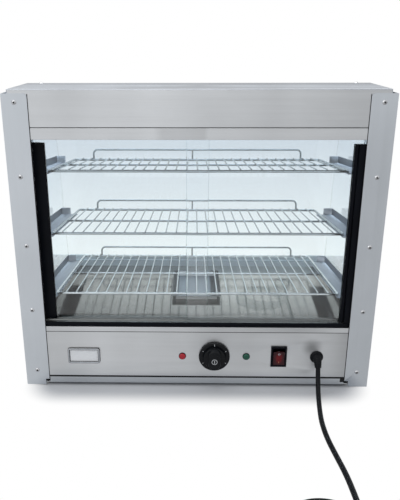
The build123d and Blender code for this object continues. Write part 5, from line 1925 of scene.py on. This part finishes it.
@dataclass
class Controls:
    """The knob, the lamps, the switch and the nameplate."""

    height: float = PANEL_MIDDLE
    knob_x: float = 34.0
    mark_radius: float = 24.9
    symbol_drop: float = 1.5
    lamps: Sequence[tuple[str, float]] = (("red", -27.0), ("green", 95.0))

    def knob(self, shop: Workshop) -> None:
        """Makes the knob: skirt, hub, grip bar and its printed marks.

        Args:
            shop: Where pieces are shown.
        """
        centre = at(self.knob_x, 0, self.height)
        skirt = turned([(3.2, -0.9), (28.9, -0.9), (29.5, -0.3), (29.5, 1.6), (28.8, 2.6), (27.6, 3.1), (22.4, 3.35),
                        (21.6, 3.1), (21.3, 3.9), (21.0, 8.4), (20.6, 9.8), (19.6, 10.5), (3.2, 10.5)],
                       centre, FORWARD, 96, True)
        layers = []
        for distance, inset in ((9.8, 0.0), (17.2, 0.5), (18.6, 0.9), (19.5, 1.7), (20.0, 3.0)):
            layers.append((distance, rounded_outline(24 - 2 * inset, 42 - 2 * inset, 12 - inset, 12)))
        grip = stacked(layers, centre, X_AXIS, Z_AXIS, FORWARD)
        marks: list[BMesh] = []
        for degrees in (0, 60, 120, 240, 300):
            angle = math.radians(degrees)
            radial = Z_AXIS * math.cos(angle) + X_AXIS * math.sin(angle)
            outline = rounded_outline(1.0, 4.2 if degrees == 0 else 2.2, 0.3, 3)
            spot = centre + radial * (self.mark_radius * MM)
            marks.append(stacked([(3.1, outline), (3.42, outline)], spot, radial.cross(FORWARD), radial, FORWARD))
        symbol = centre - Z_AXIS * (self.symbol_drop * MM)
        circle = turned([(4.5, 19.9), (5.4, 19.9), (5.4, 20.2), (4.5, 20.2)], symbol, FORWARD, 32, True)
        outline = rounded_outline(1.2, 5.4, 0.4, 3)
        needle = stacked([(19.9, outline), (20.2, outline)], symbol, X_AXIS, Z_AXIS, FORWARD)
        printed = [painted(mark, lambda face: True) for mark in (*marks, circle, needle)]
        shop.put("control_knob", joined([skirt, grip, *printed]), "knob_plastic", Body.KNOB, ["thermostat_knob"],
                 [shop.palette.print_white], 32)
        shop.dress("thermostat_shaft", "screw_steel")

    def pilot_lamps(self, shop: Workshop) -> None:
        """Makes the two pilot lamps.

        Args:
            shop: Where pieces are shown.
        """
        rings = []
        for name, x in self.lamps:
            centre = at(x, 1.5, self.height)
            rings.append(turned([(4.9, -3.4), (5.8, -24.0), (5.8, 0), (7.0, 0), (7.0, 1.1), (6.75, 1.5), (6.35, 1.6),
                                 (6.25, 1.2), (4.9, 1.0)], centre, FORWARD, 40, True))
            dome = [(0, -3.4), (4.8, -3.4), (4.8, 1.05), (6.2, 1.25), (6.2, 2.0), (6.0, 2.5)]
            for step in range(1, 7):
                angle = math.pi / 2 * step / 6
                dome.append((5.9 * math.cos(angle), 2.6 + 1.95 * math.sin(angle)))
            lens = turned([(r if r > 0.02 else 0.0, d) for r, d in dome], centre, FORWARD, 40)
            shop.put(name + "_lens_dome", lens, name + "_lens", Body.CASE, [name + "_lamp_lens"])
        shop.put("lamp_rings", joined(rings), "black_plastic", Body.CASE, ["lamp_housings"])

    def switch(self, shop: Workshop) -> None:
        """Makes the rocker with its printed marks.

        Args:
            shop: Where pieces are shown.
        """
        bm = node_copy("switch_rocker")
        ease(bm, 0.0005)
        shop.put("rocker_cap", bm, "rocker_red", Body.ROCKER, ["switch_rocker"])

    def nameplate(self, shop: Workshop) -> None:
        """Makes the plate's rounded frame and dresses the blank plate.

        Args:
            shop: Where pieces are shown.
        """
        low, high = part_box("nameplate_frame")
        wide, tall = (high[0] - low[0]) / MM, (high[2] - low[2]) / MM
        origin = Vector(((low[0] + high[0]) / 2, at(0, 1.5, 0).y, (low[2] + high[2]) / 2))
        thick = (origin.y - low[1]) / MM
        layers = []
        for inset, share in ((0.0, 0.0), (0.0, 0.35), (0.3, 0.8), (0.9, 0.94), (1.9, 1.0), (2.9, 0.94), (3.5, 0.8),
                             (4.0, 0.4), (4.0, 0.0)):
            outline = rounded_outline(wide - 2 * inset, tall - 2 * inset, 4.4 - inset, 6)
            layers.append((share * thick, outline))
        bm = stacked(layers, origin, X_AXIS, Z_AXIS, FORWARD, True)
        # Painted shade: the frame's slopes near the panel take the dark recess shadow, as dark outlines.
        painted(bm, lambda face: origin.y - face.calc_center_median().y < 0.75 * thick * MM)
        shop.put("plate_frame", bm, "plate_chrome", Body.CASE, ["nameplate_frame"], [shop.palette.painted_recess_shadow], 50)
        shop.dress("nameplate_blank", "blank_label")

    def make(self, shop: Workshop) -> None:
        """Makes all the controls.

        Args:
            shop: Where pieces are shown.
        """
        self.knob(shop)
        self.pilot_lamps(shop)
        self.switch(shop)
        self.nameplate(shop)


@dataclass
class Inside:
    """The heater and its wiring pieces, which keep their CAD shape."""

    NODES: Sequence[tuple[str, str]] = (
        ("thermostat_body", "thermostat_metal"),
        ("thermostat_bulb", "copper_bulb"),
        ("heat_shield", "inner_steel"),
        ("heating_element", "element_steel"),
        ("terminal_block", "terminal_ceramic"),
    )

    def make(self, shop: Workshop) -> None:
        """Dresses every inner node.

        Args:
            shop: Where pieces are shown.
        """
        for node, slot in self.NODES:
            shop.dress(node, slot)


def main() -> None:
    """Builds the dressed case in order."""
    logging.basicConfig(level=logging.INFO, format="%(name)s: %(message)s")
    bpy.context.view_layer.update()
    studio = Studio(at(-8.07, -1095.34, 641.64))
    studio.aim()
    palette = Palette.mixed(Effects())
    shop = Workshop(palette)
    growers = Growers.built()
    PowerLead().lay(shop, Plug().make(shop))
    Gland().make(shop)
    Sheetwork().make(shop)
    SeamShadowStrips().make(shop)
    Glazing().make(shop)
    for name, body, wire in (("top", Body.TOP_SHELF, "chrome_wire"), ("middle", Body.MIDDLE_SHELF, "chrome_wire"),
                             ("bottom", Body.BOTTOM_SHELF, "low_wire")):
        WireShelf(name, body, SHELF_HEIGHTS[body], wire=wire).make(shop, growers)
    Screws().make(shop, growers)
    Feet().make(shop, growers)
    Controls().make(shop)
    Inside().make(shop)
    studio.light()
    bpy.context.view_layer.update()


if __name__ == "__main__":
    main()
